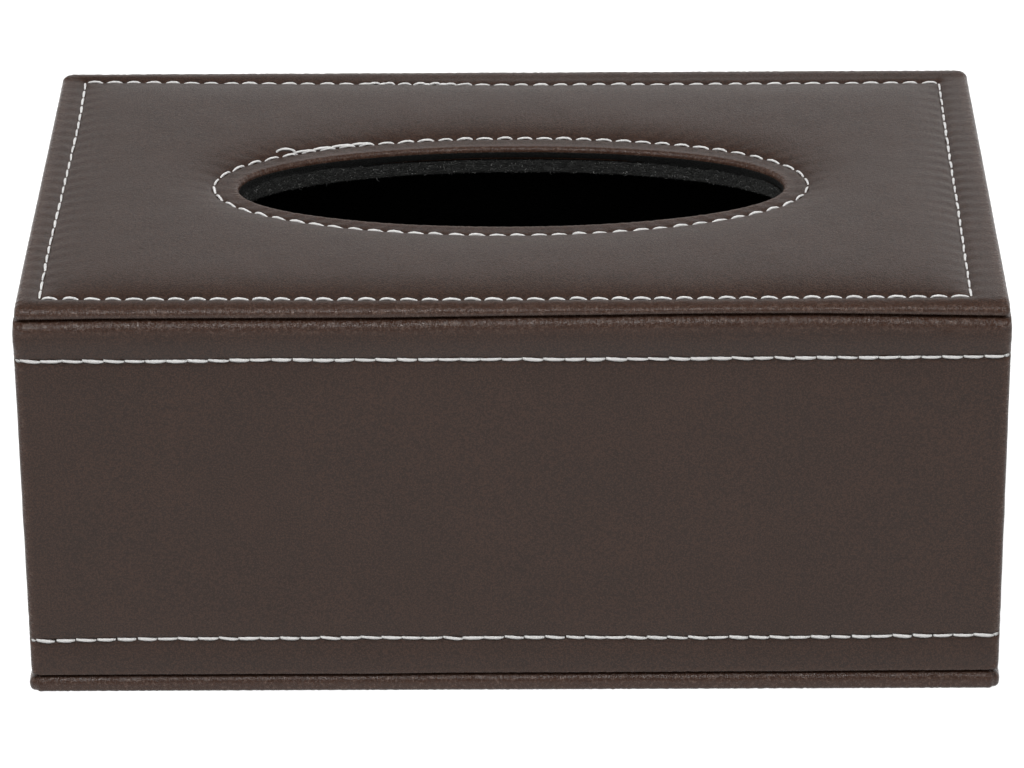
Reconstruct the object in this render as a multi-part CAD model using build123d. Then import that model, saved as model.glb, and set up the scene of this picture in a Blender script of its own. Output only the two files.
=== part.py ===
from build123d import *
import os

# Tissue box with a drawer: boards wrapped in leather and lined with felt.
# Millimetres. +X right, +Y to the back, +Z up. The origin is at the bottom centre of the closed box.

# ---- driving dimensions -------------------------------------------------------------------

# the whole box
BOX_WIDTH = 250.0
BOX_DEPTH = 150.0
RIM_HEIGHT = 110.4

# sheet materials
LEATHER = 0.8
FELT = 1.0
FOAM = 1.5
THREAD_WIDTH = 0.7
THREAD_DEPTH = 0.4

# boards
TOP_BOARD = 1.8
TOP_INNER_BOARD = 3.4
BASE_BOARD = 3.2
WALL_BOARD = 4.0
FRONT_BOARD = 4.0
TRAY_BOARD = 2.5

# leather turned in over a board's back, and its rounded corners and edges
MARGIN = 12.0
SLOT_MARGIN = 9.0
PANEL_CORNER = 2.2
WALL_CORNER = 3.0
EDGE_ROUND = 1.5

# how far the top stands in from the walls
TOP_INSET = 0.6

# oval slot (half sizes), its rolled edge, and its row of thread measured out from the slot
SLOT_HALF_LENGTH = 71.4
SLOT_HALF_WIDTH = 24.9
SLOT_CENTRE_Y = -1.2
SLOT_ROLL = 1.2
OVAL_THREAD_FROM_END = 6.6
OVAL_THREAD_FROM_SIDE = 5.8

# thread rectangle on the top, measured in from the top's edge, and the padded field inside it
TOP_THREAD_INSET_SIDE = 7.0
TOP_THREAD_INSET_END = 5.6
PAD_FROM_THREAD = 0.5
PAD_SLOPE = 7.0

# rows of thread on the walls and the front, measured from the panel's edges
ROW_FROM_TOP = 10.7
ROW_FROM_BOTTOM = 10.5

# clearances
FRONT_GAP = 0.6
FRONT_BACK_GAP = 0.5
TRAY_SIDE_GAP = 0.6
TRAY_UNDER_GAP = 0.3
TRAY_OVER_GAP = 1.2
TRAY_END_GAP = 1.0
LINING_BOARD_GAP = 0.4
LINING_BELOW_RIM = 1.0

# catch: bar magnets in the walls' front ends, steel strips in the front's board
MAGNET_WIDTH = 2.4
MAGNET_DEPTH = 3.0
MAGNET_LENGTH = 30.0
STRIKE_WIDTH = 3.0
STRIKE_DEPTH = 1.0
STRIKE_LENGTH = 36.0

# ---- places worked out from them ----------------------------------------------------------

BASE_TOP = BASE_BOARD + 2 * LEATHER
TOP_UNDERSIDE = RIM_HEIGHT - TOP_BOARD - 2 * LEATHER
TOP_WIDTH = BOX_WIDTH - 2 * TOP_INSET
TOP_DEPTH = BOX_DEPTH - 2 * TOP_INSET
TOP_BOARD_FACE = RIM_HEIGHT - LEATHER
OVAL_THREAD_HALF_LENGTH = SLOT_HALF_LENGTH + OVAL_THREAD_FROM_END
OVAL_THREAD_HALF_WIDTH = SLOT_HALF_WIDTH + OVAL_THREAD_FROM_SIDE

FRONT_FACE = -BOX_DEPTH / 2
FRONT_THICKNESS = FRONT_BOARD + 2 * LEATHER
FRONT_BACK = FRONT_FACE + FRONT_THICKNESS
FRONT_BOTTOM = BASE_TOP + FRONT_GAP
FRONT_TOP = TOP_UNDERSIDE - FRONT_GAP
FRONT_HEIGHT = FRONT_TOP - FRONT_BOTTOM

WALL_THICKNESS = WALL_BOARD + 2 * LEATHER
WALL_FRONT = FRONT_BACK + FRONT_BACK_GAP
WALL_BOARD_INNER = LEATHER + WALL_BOARD
WALL_LINED = WALL_BOARD_INNER + FELT
ROW_UPPER = FRONT_TOP - ROW_FROM_TOP
ROW_LOWER = FRONT_BOTTOM + ROW_FROM_BOTTOM

LINING_TOP_BOTTOM = TOP_UNDERSIDE - TOP_INNER_BOARD - FELT
BASE_LINING_TOP = LEATHER + BASE_BOARD + FELT

TRAY_HALF_WIDTH = BOX_WIDTH / 2 - WALL_LINED - TRAY_SIDE_GAP
TRAY_BACK = BOX_DEPTH / 2 - WALL_LINED - TRAY_END_GAP
TRAY_BOTTOM = BASE_LINING_TOP + TRAY_UNDER_GAP
TRAY_TOP = LINING_TOP_BOTTOM - TRAY_OVER_GAP
TRAY_FLOOR_TOP = TRAY_BOTTOM + TRAY_BOARD

# ---- shared shapes ------------------------------------------------------------------------


def block(x0, x1, y0, y1, z0, z1):
    """Straight block between two opposite corners."""
    return Pos((x0 + x1) / 2, (y0 + y1) / 2, (z0 + z1) / 2) * Box(x1 - x0, y1 - y0, z1 - z0)


def mirrored(solid):
    """The same piece on the other side of the box."""
    return mirror(solid, about=Plane.YZ)


def slab(width, depth, thickness, corner, edge_round):
    """Flat slab from z=0 up, with rounded corners and rounded long edges on both faces."""
    shape = extrude(RectangleRounded(width, depth, corner), amount=thickness)
    radius = min(edge_round, 0.45 * thickness, 0.9 * corner)
    long_edges = shape.edges().group_by(Axis.Z)[0] + shape.edges().group_by(Axis.Z)[-1]
    return fillet(long_edges, radius)


def leather_slab(width, depth, board):
    """Outer form of a board once it is wrapped in leather, lying from z=0 up."""
    return slab(width, depth, board + 2 * LEATHER, PANEL_CORNER, EDGE_ROUND)


def board_slab(width, depth, board):
    """The board inside that wrapped form: smaller by the leather all round."""
    core = slab(
        width - 2 * LEATHER,
        depth - 2 * LEATHER,
        board,
        max(PANEL_CORNER - LEATHER, 0.2),
        max(EDGE_ROUND - LEATHER, 0.1),
    )
    return Pos(0, 0, LEATHER) * core


def oval(half_length, half_width, z0, z1):
    """Straight-sided oval plug between two heights, on the slot's centre."""
    plug = extrude(Ellipse(half_length, half_width), amount=z1 - z0)
    return Pos(0, SLOT_CENTRE_Y, z0) * plug


def oval_funnel(half_length, half_width, spread, z0, z1):
    """Oval plug that widens by spread from its lower to its upper face."""
    lower = Pos(0, SLOT_CENTRE_Y, z0) * Ellipse(half_length, half_width)
    upper = Pos(0, SLOT_CENTRE_Y, z1) * Ellipse(half_length + spread, half_width + spread)
    return loft([lower, upper])


# ---- top ----------------------------------------------------------------------------------

# The pad's foot starts just inside the rectangle of thread and just outside the oval of thread.
PAD_WIDTH = TOP_WIDTH - 2 * (TOP_THREAD_INSET_SIDE + PAD_FROM_THREAD)
PAD_DEPTH = TOP_DEPTH - 2 * (TOP_THREAD_INSET_END + PAD_FROM_THREAD)
PAD_OVAL_LENGTH = OVAL_THREAD_HALF_LENGTH + PAD_FROM_THREAD
PAD_OVAL_WIDTH = OVAL_THREAD_HALF_WIDTH + PAD_FROM_THREAD


def pad_form(bottom):
    """Raised field of the top: sloped at its rim and round the slot, flat between."""
    lower = Pos(0, 0, bottom) * RectangleRounded(PAD_WIDTH, PAD_DEPTH, PANEL_CORNER)
    crown = Pos(0, 0, bottom + FOAM) * RectangleRounded(
        PAD_WIDTH - 2 * PAD_SLOPE, PAD_DEPTH - 2 * PAD_SLOPE, PANEL_CORNER
    )
    field = loft([lower, crown])
    return field - oval_funnel(PAD_OVAL_LENGTH, PAD_OVAL_WIDTH, PAD_SLOPE, bottom, bottom + FOAM)


def top_board():
    """Hard board of the top, with the oval slot cut through it."""
    board = Pos(0, 0, TOP_UNDERSIDE) * board_slab(TOP_WIDTH, TOP_DEPTH, TOP_BOARD)
    slot = oval(SLOT_HALF_LENGTH + LEATHER, SLOT_HALF_WIDTH + LEATHER, TOP_UNDERSIDE, RIM_HEIGHT)
    return board - slot


def top_padding():
    """Foam sheet on the board, pinched down at both rows of thread."""
    return pad_form(TOP_BOARD_FACE)


def top_turned_recess():
    """Space under the board that the turned leather margins leave free."""
    recess = block(
        -TOP_WIDTH / 2 + MARGIN,
        TOP_WIDTH / 2 - MARGIN,
        -TOP_DEPTH / 2 + MARGIN,
        TOP_DEPTH / 2 - MARGIN,
        TOP_UNDERSIDE,
        TOP_UNDERSIDE + LEATHER,
    )
    kept = oval(
        SLOT_HALF_LENGTH + SLOT_MARGIN,
        SLOT_HALF_WIDTH + SLOT_MARGIN,
        TOP_UNDERSIDE,
        TOP_UNDERSIDE + LEATHER,
    )
    return recess - kept


def rolled_slot():
    """Oval cut through the leather, opened out at the top where the leather rolls over."""
    straight = oval(SLOT_HALF_LENGTH, SLOT_HALF_WIDTH, TOP_UNDERSIDE, RIM_HEIGHT)
    roll = oval_funnel(
        SLOT_HALF_LENGTH, SLOT_HALF_WIDTH, SLOT_ROLL, RIM_HEIGHT - LEATHER / 2, RIM_HEIGHT
    )
    return straight + roll


def top_cover():
    """Leather of the top: over the foam, round the edges and down through the slot."""
    flat = Pos(0, 0, TOP_UNDERSIDE) * leather_slab(TOP_WIDTH, TOP_DEPTH, TOP_BOARD)
    form = flat + pad_form(RIM_HEIGHT)
    form = form - rolled_slot() - top_board() - top_padding() - top_turned_recess()
    return form - top_edge_stitching() - oval_stitching()


def top_filler():
    """Card that fills the space between the turned margins."""
    return top_turned_recess()


def top_edge_stitching():
    """Rectangle of thread along the top's edge, flush with the leather."""
    length = TOP_WIDTH - 2 * TOP_THREAD_INSET_SIDE
    width = TOP_DEPTH - 2 * TOP_THREAD_INSET_END
    outer = Rectangle(length + THREAD_WIDTH, width + THREAD_WIDTH)
    inner = Rectangle(length - THREAD_WIDTH, width - THREAD_WIDTH)
    return Pos(0, 0, RIM_HEIGHT - THREAD_DEPTH) * extrude(outer - inner, amount=THREAD_DEPTH)


def oval_stitching():
    """Oval of thread round the slot, flush with the leather."""
    half = THREAD_WIDTH / 2
    low = RIM_HEIGHT - THREAD_DEPTH
    outer = oval(OVAL_THREAD_HALF_LENGTH + half, OVAL_THREAD_HALF_WIDTH + half, low, RIM_HEIGHT)
    inner = oval(OVAL_THREAD_HALF_LENGTH - half, OVAL_THREAD_HALF_WIDTH - half, low, RIM_HEIGHT)
    return outer - inner


def top_lining_form(inset, bottom):
    """Block under the top, inside the walls, from a height up to the top's underside."""
    half_width = BOX_WIDTH / 2 - WALL_THICKNESS - LINING_BOARD_GAP - inset
    back = BOX_DEPTH / 2 - WALL_THICKNESS - LINING_BOARD_GAP - inset
    return block(-half_width, half_width, WALL_FRONT + inset, back, bottom, TOP_UNDERSIDE)


def top_lining_board():
    """Inner board under the top, with an oval hole that leaves room for its felt."""
    bottom = TOP_UNDERSIDE - TOP_INNER_BOARD
    slot = oval(SLOT_HALF_LENGTH + FELT, SLOT_HALF_WIDTH + FELT, bottom, TOP_UNDERSIDE)
    return top_lining_form(FELT, bottom) - slot


def top_lining():
    """Felt under the inner board, up its outer edges and up through the oval."""
    slot = oval(SLOT_HALF_LENGTH, SLOT_HALF_WIDTH, LINING_TOP_BOTTOM, TOP_UNDERSIDE)
    return top_lining_form(0, LINING_TOP_BOTTOM) - slot - top_lining_board()


# ---- base ---------------------------------------------------------------------------------


def base_board():
    """Board of the base."""
    return board_slab(BOX_WIDTH, BOX_DEPTH, BASE_BOARD)


def base_field(height):
    """Block on the base's board, inside the turned leather margin."""
    return block(
        -BOX_WIDTH / 2 + MARGIN,
        BOX_WIDTH / 2 - MARGIN,
        -BOX_DEPTH / 2 + MARGIN,
        BOX_DEPTH / 2 - MARGIN,
        LEATHER + BASE_BOARD,
        LEATHER + BASE_BOARD + height,
    )


def base_cover():
    """Leather of the base: its underside, its edges and a turned margin on top."""
    return leather_slab(BOX_WIDTH, BOX_DEPTH, BASE_BOARD) - base_board() - base_field(LEATHER)


def base_lining():
    """Felt that the drawer slides on, laid between the turned margins."""
    return base_field(FELT)


# ---- walls --------------------------------------------------------------------------------


def wall_block(inset, front, bottom, top, corner):
    """Block filling the box inside the walls' outer face, its two back corners rounded."""
    half = BOX_WIDTH / 2 - inset
    shape = block(-half, half, front, BOX_DEPTH / 2 - inset, bottom, top)
    back_corners = shape.edges().filter_by(Axis.Z).group_by(Axis.Y)[-1]
    return fillet(back_corners, corner)


def walls_outer():
    """Outer form of the three walls, with soft upper, lower and front edges."""
    shape = wall_block(0, WALL_FRONT, BASE_TOP, TOP_UNDERSIDE, WALL_CORNER)
    rims = shape.edges().group_by(Axis.Z)[0] + shape.edges().group_by(Axis.Z)[-1]
    rims = rims.filter_by(lambda e: e.center().Y > WALL_FRONT + LEATHER)
    return fillet(rims, min(EDGE_ROUND, 0.9 * WALL_CORNER))


def walls_inner():
    """Space inside the three wrapped walls."""
    half = BOX_WIDTH / 2 - WALL_THICKNESS
    front = WALL_FRONT - LEATHER
    return block(-half, half, front, BOX_DEPTH / 2 - WALL_THICKNESS, BASE_TOP, TOP_UNDERSIDE)


def lining_bay():
    """Space between the turned margins of the walls, down to their boards."""
    half = BOX_WIDTH / 2 - WALL_BOARD_INNER
    back = BOX_DEPTH / 2 - WALL_BOARD_INNER
    low = BASE_TOP + MARGIN
    return block(-half, half, WALL_FRONT + MARGIN, back, low, TOP_UNDERSIDE - MARGIN)


def boards_outer():
    """Outer form of the wall boards, under the leather."""
    corner = max(WALL_CORNER - LEATHER, 0.2)
    low = BASE_TOP + LEATHER
    return wall_block(LEATHER, WALL_FRONT + LEATHER, low, TOP_UNDERSIDE - LEATHER, corner)


def side_board_left():
    """Left wall's board, full depth, with a pocket for the magnet in its front end."""
    inner = -BOX_WIDTH / 2 + WALL_BOARD_INNER
    front = WALL_FRONT + LEATHER
    reach = block(-BOX_WIDTH / 2, inner, front, BOX_DEPTH / 2, BASE_TOP, TOP_UNDERSIDE)
    return (boards_outer() & reach) - catch_magnet_left()


def side_board_right():
    """Right wall's board."""
    return mirrored(side_board_left())


def back_board():
    """Back wall's board, between the side boards."""
    half = BOX_WIDTH / 2 - WALL_BOARD_INNER
    back = BOX_DEPTH / 2
    front = back - WALL_BOARD_INNER
    return boards_outer() & block(-half, half, front, back, BASE_TOP, TOP_UNDERSIDE)


def wall_cover():
    """One leather band round left, back and right, turned in over every edge."""
    shell = walls_outer() - walls_inner() - lining_bay()
    boards = boards_outer() - block(
        -BOX_WIDTH / 2 + WALL_BOARD_INNER,
        BOX_WIDTH / 2 - WALL_BOARD_INNER,
        WALL_FRONT - LEATHER,
        BOX_DEPTH / 2 - WALL_BOARD_INNER,
        BASE_TOP,
        TOP_UNDERSIDE,
    )
    return shell - boards - wall_stitching(ROW_UPPER) - wall_stitching(ROW_LOWER)


def wall_stitching(height):
    """Row of thread round the three walls, flush with the leather."""
    corner = max(WALL_CORNER - THREAD_DEPTH, 0.2)
    low = height - THREAD_WIDTH / 2
    high = height + THREAD_WIDTH / 2
    outer = wall_block(0, WALL_FRONT, low, high, WALL_CORNER)
    return outer - wall_block(THREAD_DEPTH, WALL_FRONT - LEATHER, low, high, corner)


def side_lining_left():
    """Felt on the left wall, between the turned margins."""
    outer = -BOX_WIDTH / 2 + WALL_BOARD_INNER
    back = BOX_DEPTH / 2 - WALL_BOARD_INNER
    low = BASE_TOP + MARGIN
    return block(outer, outer + FELT, WALL_FRONT + MARGIN, back, low, TOP_UNDERSIDE - MARGIN)


def side_lining_right():
    """Felt on the right wall."""
    return mirrored(side_lining_left())


def back_lining():
    """Felt on the back wall, between the side felts."""
    half = BOX_WIDTH / 2 - WALL_LINED
    back = BOX_DEPTH / 2 - WALL_BOARD_INNER
    return block(-half, half, back - FELT, back, BASE_TOP + MARGIN, TOP_UNDERSIDE - MARGIN)


def catch_magnet_left():
    """Bar magnet let into the front end of the left board, half way up."""
    centre = -BOX_WIDTH / 2 + LEATHER + WALL_BOARD / 2
    middle = (FRONT_BOTTOM + FRONT_TOP) / 2
    front = WALL_FRONT + LEATHER
    return block(
        centre - MAGNET_WIDTH / 2,
        centre + MAGNET_WIDTH / 2,
        front,
        front + MAGNET_DEPTH,
        middle - MAGNET_LENGTH / 2,
        middle + MAGNET_LENGTH / 2,
    )


def catch_magnet_right():
    """The right wall's magnet."""
    return mirrored(catch_magnet_left())


# ---- drawer front -------------------------------------------------------------------------


def stand_up(shape):
    """Stands a panel made lying down on its lower edge, with its outer face to the front."""
    return Pos(0, FRONT_BACK, (FRONT_BOTTOM + FRONT_TOP) / 2) * Rot(90, 0, 0) * shape


def front_board():
    """Board of the drawer's front, with pockets for the steel strips in its back."""
    board = stand_up(board_slab(BOX_WIDTH, FRONT_HEIGHT, FRONT_BOARD))
    return board - strike_plate_left() - strike_plate_right()


def front_recess():
    """Space behind the board that the turned leather margins leave free."""
    half = BOX_WIDTH / 2 - MARGIN
    low = FRONT_BOTTOM + MARGIN
    return block(-half, half, FRONT_BACK - LEATHER, FRONT_BACK, low, FRONT_TOP - MARGIN)


def front_cover():
    """Leather of the front: face, edges and a turned margin behind."""
    form = stand_up(leather_slab(BOX_WIDTH, FRONT_HEIGHT, FRONT_BOARD))
    board = stand_up(board_slab(BOX_WIDTH, FRONT_HEIGHT, FRONT_BOARD))
    form = form - board - front_recess()
    return form - front_stitching(ROW_UPPER) - front_stitching(ROW_LOWER)


def front_backing():
    """Card that fills the space between the turned margins."""
    return front_recess()


def front_stitching(height):
    """Row of thread across the front and round its two upright edges."""
    form = stand_up(leather_slab(BOX_WIDTH, FRONT_HEIGHT, FRONT_BOARD))
    sunk = stand_up(
        Pos(0, 0, THREAD_DEPTH)
        * slab(
            BOX_WIDTH - 2 * THREAD_DEPTH,
            FRONT_HEIGHT - 2 * THREAD_DEPTH,
            FRONT_THICKNESS - 2 * THREAD_DEPTH,
            PANEL_CORNER - THREAD_DEPTH,
            EDGE_ROUND - THREAD_DEPTH,
        )
    )
    half = BOX_WIDTH / 2
    low = height - THREAD_WIDTH / 2
    high = height + THREAD_WIDTH / 2
    row = block(-half, half, FRONT_FACE, FRONT_FACE + FRONT_THICKNESS / 2, low, high)
    return (form - sunk) & row


def strike_plate_left():
    """Steel strip in the back of the front's board, facing the left magnet."""
    centre = -BOX_WIDTH / 2 + LEATHER + WALL_BOARD / 2
    middle = (FRONT_BOTTOM + FRONT_TOP) / 2
    back = FRONT_BACK - LEATHER
    return block(
        centre - STRIKE_WIDTH / 2,
        centre + STRIKE_WIDTH / 2,
        back - STRIKE_DEPTH,
        back,
        middle - STRIKE_LENGTH / 2,
        middle + STRIKE_LENGTH / 2,
    )


def strike_plate_right():
    """The right-hand steel strip."""
    return mirrored(strike_plate_left())


# ---- drawer tray --------------------------------------------------------------------------


def tray_floor():
    """Floor board of the tray."""
    half = TRAY_HALF_WIDTH
    return block(-half, half, FRONT_BACK, TRAY_BACK, TRAY_BOTTOM, TRAY_FLOOR_TOP)


def tray_front():
    """Front board of the tray, glued to the back of the leather front."""
    half = TRAY_HALF_WIDTH
    return block(-half, half, FRONT_BACK, FRONT_BACK + TRAY_BOARD, TRAY_FLOOR_TOP, TRAY_TOP)


def tray_back():
    """Back board of the tray."""
    half = TRAY_HALF_WIDTH
    return block(-half, half, TRAY_BACK - TRAY_BOARD, TRAY_BACK, TRAY_FLOOR_TOP, TRAY_TOP)


def tray_side_left():
    """Left board of the tray, between its front and back boards."""
    outer = -TRAY_HALF_WIDTH
    front = FRONT_BACK + TRAY_BOARD
    return block(
        outer, outer + TRAY_BOARD, front, TRAY_BACK - TRAY_BOARD, TRAY_FLOOR_TOP, TRAY_TOP
    )


def tray_side_right():
    """Right board of the tray."""
    return mirrored(tray_side_left())


def tray_floor_lining():
    """Felt on the tray's floor."""
    half = TRAY_HALF_WIDTH - TRAY_BOARD
    front = FRONT_BACK + TRAY_BOARD
    top = TRAY_FLOOR_TOP + FELT
    return block(-half, half, front, TRAY_BACK - TRAY_BOARD, TRAY_FLOOR_TOP, top)


def tray_side_lining_left():
    """Felt on the tray's left board."""
    outer = -TRAY_HALF_WIDTH + TRAY_BOARD
    front = FRONT_BACK + TRAY_BOARD
    low = TRAY_FLOOR_TOP + FELT
    top = TRAY_TOP - LINING_BELOW_RIM
    return block(outer, outer + FELT, front, TRAY_BACK - TRAY_BOARD, low, top)


def tray_side_lining_right():
    """Felt on the tray's right board."""
    return mirrored(tray_side_lining_left())


def tray_front_lining():
    """Felt on the tray's front board, between the side felts."""
    half = TRAY_HALF_WIDTH - TRAY_BOARD - FELT
    front = FRONT_BACK + TRAY_BOARD
    low = TRAY_FLOOR_TOP + FELT
    return block(-half, half, front, front + FELT, low, TRAY_TOP - LINING_BELOW_RIM)


def tray_back_lining():
    """Felt on the tray's back board, between the side felts."""
    half = TRAY_HALF_WIDTH - TRAY_BOARD - FELT
    back = TRAY_BACK - TRAY_BOARD
    low = TRAY_FLOOR_TOP + FELT
    return block(-half, half, back - FELT, back, low, TRAY_TOP - LINING_BELOW_RIM)


# ---- all pieces ---------------------------------------------------------------------------

PIECES = {
    "top_board": top_board(),
    "top_padding": top_padding(),
    "top_cover": top_cover(),
    "top_filler": top_filler(),
    "top_edge_stitching": top_edge_stitching(),
    "oval_stitching": oval_stitching(),
    "top_lining_board": top_lining_board(),
    "top_lining": top_lining(),
    "base_board": base_board(),
    "base_cover": base_cover(),
    "base_lining": base_lining(),
    "side_board_left": side_board_left(),
    "side_board_right": side_board_right(),
    "back_board": back_board(),
    "wall_cover": wall_cover(),
    "wall_stitching_upper": wall_stitching(ROW_UPPER),
    "wall_stitching_lower": wall_stitching(ROW_LOWER),
    "side_lining_left": side_lining_left(),
    "side_lining_right": side_lining_right(),
    "back_lining": back_lining(),
    "catch_magnet_left": catch_magnet_left(),
    "catch_magnet_right": catch_magnet_right(),
    "front_board": front_board(),
    "front_cover": front_cover(),
    "front_backing": front_backing(),
    "front_stitching_upper": front_stitching(ROW_UPPER),
    "front_stitching_lower": front_stitching(ROW_LOWER),
    "strike_plate_left": strike_plate_left(),
    "strike_plate_right": strike_plate_right(),
    "tray_floor": tray_floor(),
    "tray_front": tray_front(),
    "tray_back": tray_back(),
    "tray_side_left": tray_side_left(),
    "tray_side_right": tray_side_right(),
    "tray_floor_lining": tray_floor_lining(),
    "tray_front_lining": tray_front_lining(),
    "tray_back_lining": tray_back_lining(),
    "tray_side_lining_left": tray_side_lining_left(),
    "tray_side_lining_right": tray_side_lining_right(),
}

os.makedirs("parts", exist_ok=True)
for name, piece in PIECES.items():
    export_step(piece, f"parts/{name}.step")
    print(name, len(piece.solids()), "solid", round(piece.volume), "mm3")
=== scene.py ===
"""Looks of a leather-covered tissue box with a drawer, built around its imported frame."""

import logging
import math
from dataclasses import dataclass, field
from enum import Enum
from typing import Callable, Optional, Sequence, Union

import bpy
import numpy as np
from mathutils import Matrix, Vector


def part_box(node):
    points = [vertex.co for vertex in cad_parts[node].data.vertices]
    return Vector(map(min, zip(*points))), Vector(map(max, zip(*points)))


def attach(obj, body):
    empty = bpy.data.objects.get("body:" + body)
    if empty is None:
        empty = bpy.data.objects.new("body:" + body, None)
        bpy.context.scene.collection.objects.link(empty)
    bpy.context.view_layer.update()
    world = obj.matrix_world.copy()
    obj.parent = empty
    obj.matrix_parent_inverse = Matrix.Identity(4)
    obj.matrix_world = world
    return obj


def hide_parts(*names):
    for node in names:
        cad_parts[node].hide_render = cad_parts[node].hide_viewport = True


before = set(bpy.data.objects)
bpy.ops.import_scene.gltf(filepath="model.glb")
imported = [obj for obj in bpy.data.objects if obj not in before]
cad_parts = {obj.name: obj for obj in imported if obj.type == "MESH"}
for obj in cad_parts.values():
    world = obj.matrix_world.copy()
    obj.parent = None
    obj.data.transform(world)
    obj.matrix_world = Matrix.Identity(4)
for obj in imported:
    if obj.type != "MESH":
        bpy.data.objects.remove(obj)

LOG = logging.getLogger("tissue_box")
MM = 0.001
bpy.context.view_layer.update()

Array = np.ndarray
Values = Union[float, np.ndarray]
Pair = tuple[float, float]
Triple = tuple[float, float, float]
Colour = tuple[float, float, float, float]
Edges = tuple[float, float, float, float]
Socket = bpy.types.NodeSocket
Tree = bpy.types.NodeTree
Node = bpy.types.Node
Thing = bpy.types.Object
Feed = Union[Socket, float, int, Sequence[float]]


class Body(Enum):
    """The two bodies that pieces ride on."""

    CASE = "case"
    DRAWER = "drawer"


class Slot(Enum):
    """The record's material slots."""

    LEATHER = "leather"
    THREAD = "thread"
    FELT = "felt"
    BOARD = "board"
    TRAY_BOARD = "tray_board"
    CARD = "card"
    FOAM = "foam"
    MAGNET = "magnet"
    STEEL = "steel"


# ---- values that the pieces share, lengths in millimetres ----


@dataclass(frozen=True)
class Sheets:
    """Thicknesses and edges that the wrapped parts share."""

    leather: float = 0.8
    felt: float = 1.0
    margin: float = 12.0
    slot_margin: float = 9.0
    panel_corner: float = 2.2
    wall_corner: float = 3.0
    edge_round: float = 1.5
    stitch_pitch: float = 5.3
    row_from_top: float = 10.7
    row_from_bottom: float = 10.5


SHEETS = Sheets()
GAP_PLACES = (-125.0, -100.0, -35.0, 0.0, 22.0, 45.0, 75.0, 92.0, 125.0)
GAP_RISES = (-0.3, 0.0, -0.08, 0.3, 0.46, 0.7, 0.7, 0.42, -0.28)
BASE_TILT = 0.25 / 125
TONE_SEED, SIZE_SEED, LENGTH_SEED = 13.0, 7.0, 5.0


def gap_rise(x: Values) -> Values:
    """How far the seam between the top and the front strays up at a place across the box."""
    return np.interp(x, GAP_PLACES, GAP_RISES)


@dataclass(frozen=True)
class Extent:
    """A straight block of space, in millimetres."""

    low: Triple
    high: Triple

    @classmethod
    def of(cls, node: str) -> "Extent":
        """The space that a node of the frame fills at rest."""
        low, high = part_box(node)
        return cls(tuple(v / MM for v in low), tuple(v / MM for v in high))

    @property
    def centre(self) -> Array:
        """Middle of the block."""
        return (np.array(self.low) + np.array(self.high)) / 2

    @property
    def size(self) -> Array:
        """Lengths of its sides."""
        return np.array(self.high) - np.array(self.low)


# ---- shapes worked out with numbers ----


def smooth(value: Values) -> Values:
    """Soft step from 0 to 1 as value goes from 0 to 1."""
    t = np.clip(value, 0.0, 1.0)
    return t * t * (3 - 2 * t)


def well(distance: Values, width: float) -> Values:
    """Round dip that is 1 at distance 0 and fades over width."""
    return np.exp(-((distance / width) ** 2))


def stations(length: float, cell: float, close: float, zone: float) -> Array:
    """Places along a side, close together near both of its ends.

    Args:
        length: the side's length.
        cell: spacing in the middle.
        close: spacing near the ends.
        zone: how far from an end the close spacing reaches.

    Returns:
        Rising places from 0 to length, both included.
    """
    near = np.linspace(0, zone, max(2, round(zone / close)) + 1)
    middle = np.linspace(zone, length - zone, max(2, round((length - 2 * zone) / cell)) + 1)
    return np.concatenate([near, middle[1:-1], length - near[::-1]])


def gathered(
    low: float, high: float, cell: float, lines: Sequence[float], close: float, zone: float
) -> Array:
    """Places between low and high, closer together round certain lines.

    Args:
        low: first place.
        high: last place.
        cell: usual spacing.
        lines: places that get the close spacing on both sides.
        close: spacing round a line.
        zone: reach of the close spacing.

    Returns:
        Rising places, low and high included.
    """
    knots = [low]
    while knots[-1] < high:
        here = knots[-1]
        gap = min((abs(here - line) for line in lines), default=cell)
        step = close + (cell - close) * float(smooth((gap - zone) / (2 * cell + zone)))
        knots.append(here + step)
    values = np.array(knots)
    return low + (values - low) * (high - low) / (values[-1] - low)


@dataclass(frozen=True)
class Ripple:
    """Gentle unevenness: seeded waves that run in many directions."""

    wavelength: float
    height: float
    seed: int
    waves: int = 9

    def at(self, a: Array, b: Array) -> Array:
        """Height at places a, b of a surface."""
        chance = np.random.default_rng(self.seed)
        total = np.zeros(np.broadcast(a, b).shape)
        for _ in range(self.waves):
            turn = chance.uniform(0, 2 * math.pi)
            pace = 2 * math.pi / (self.wavelength * chance.uniform(0.6, 1.7))
            start = chance.uniform(0, 2 * math.pi)
            total += np.cos(pace * (a * math.cos(turn) + b * math.sin(turn)) + start)
        return self.height * total / math.sqrt(self.waves)


@dataclass(frozen=True)
class Creases:
    """Fine folds that cross an edge: uneven along it, nearly straight across it."""

    spacing: float
    height: float
    seed: int
    waves: int = 14
    drift: float = 0.8

    def at(self, along: Array, across: Array) -> Array:
        """Height at a place along and across the edge."""
        chance = np.random.default_rng(self.seed)
        total = np.zeros(np.broadcast(along, across).shape)
        for _ in range(self.waves):
            pace = 2 * math.pi / (self.spacing * chance.uniform(0.55, 2.4))
            lean = chance.uniform(-self.drift, self.drift)
            start = chance.uniform(0, 2 * math.pi)
            swell = 2 * math.pi / (self.spacing * chance.uniform(6, 14))
            fade = 0.6 + 0.4 * np.cos(swell * along + start * 3)
            total += fade * np.cos(pace * (along + lean * across) + start)
        return self.height * total / math.sqrt(self.waves)


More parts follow.
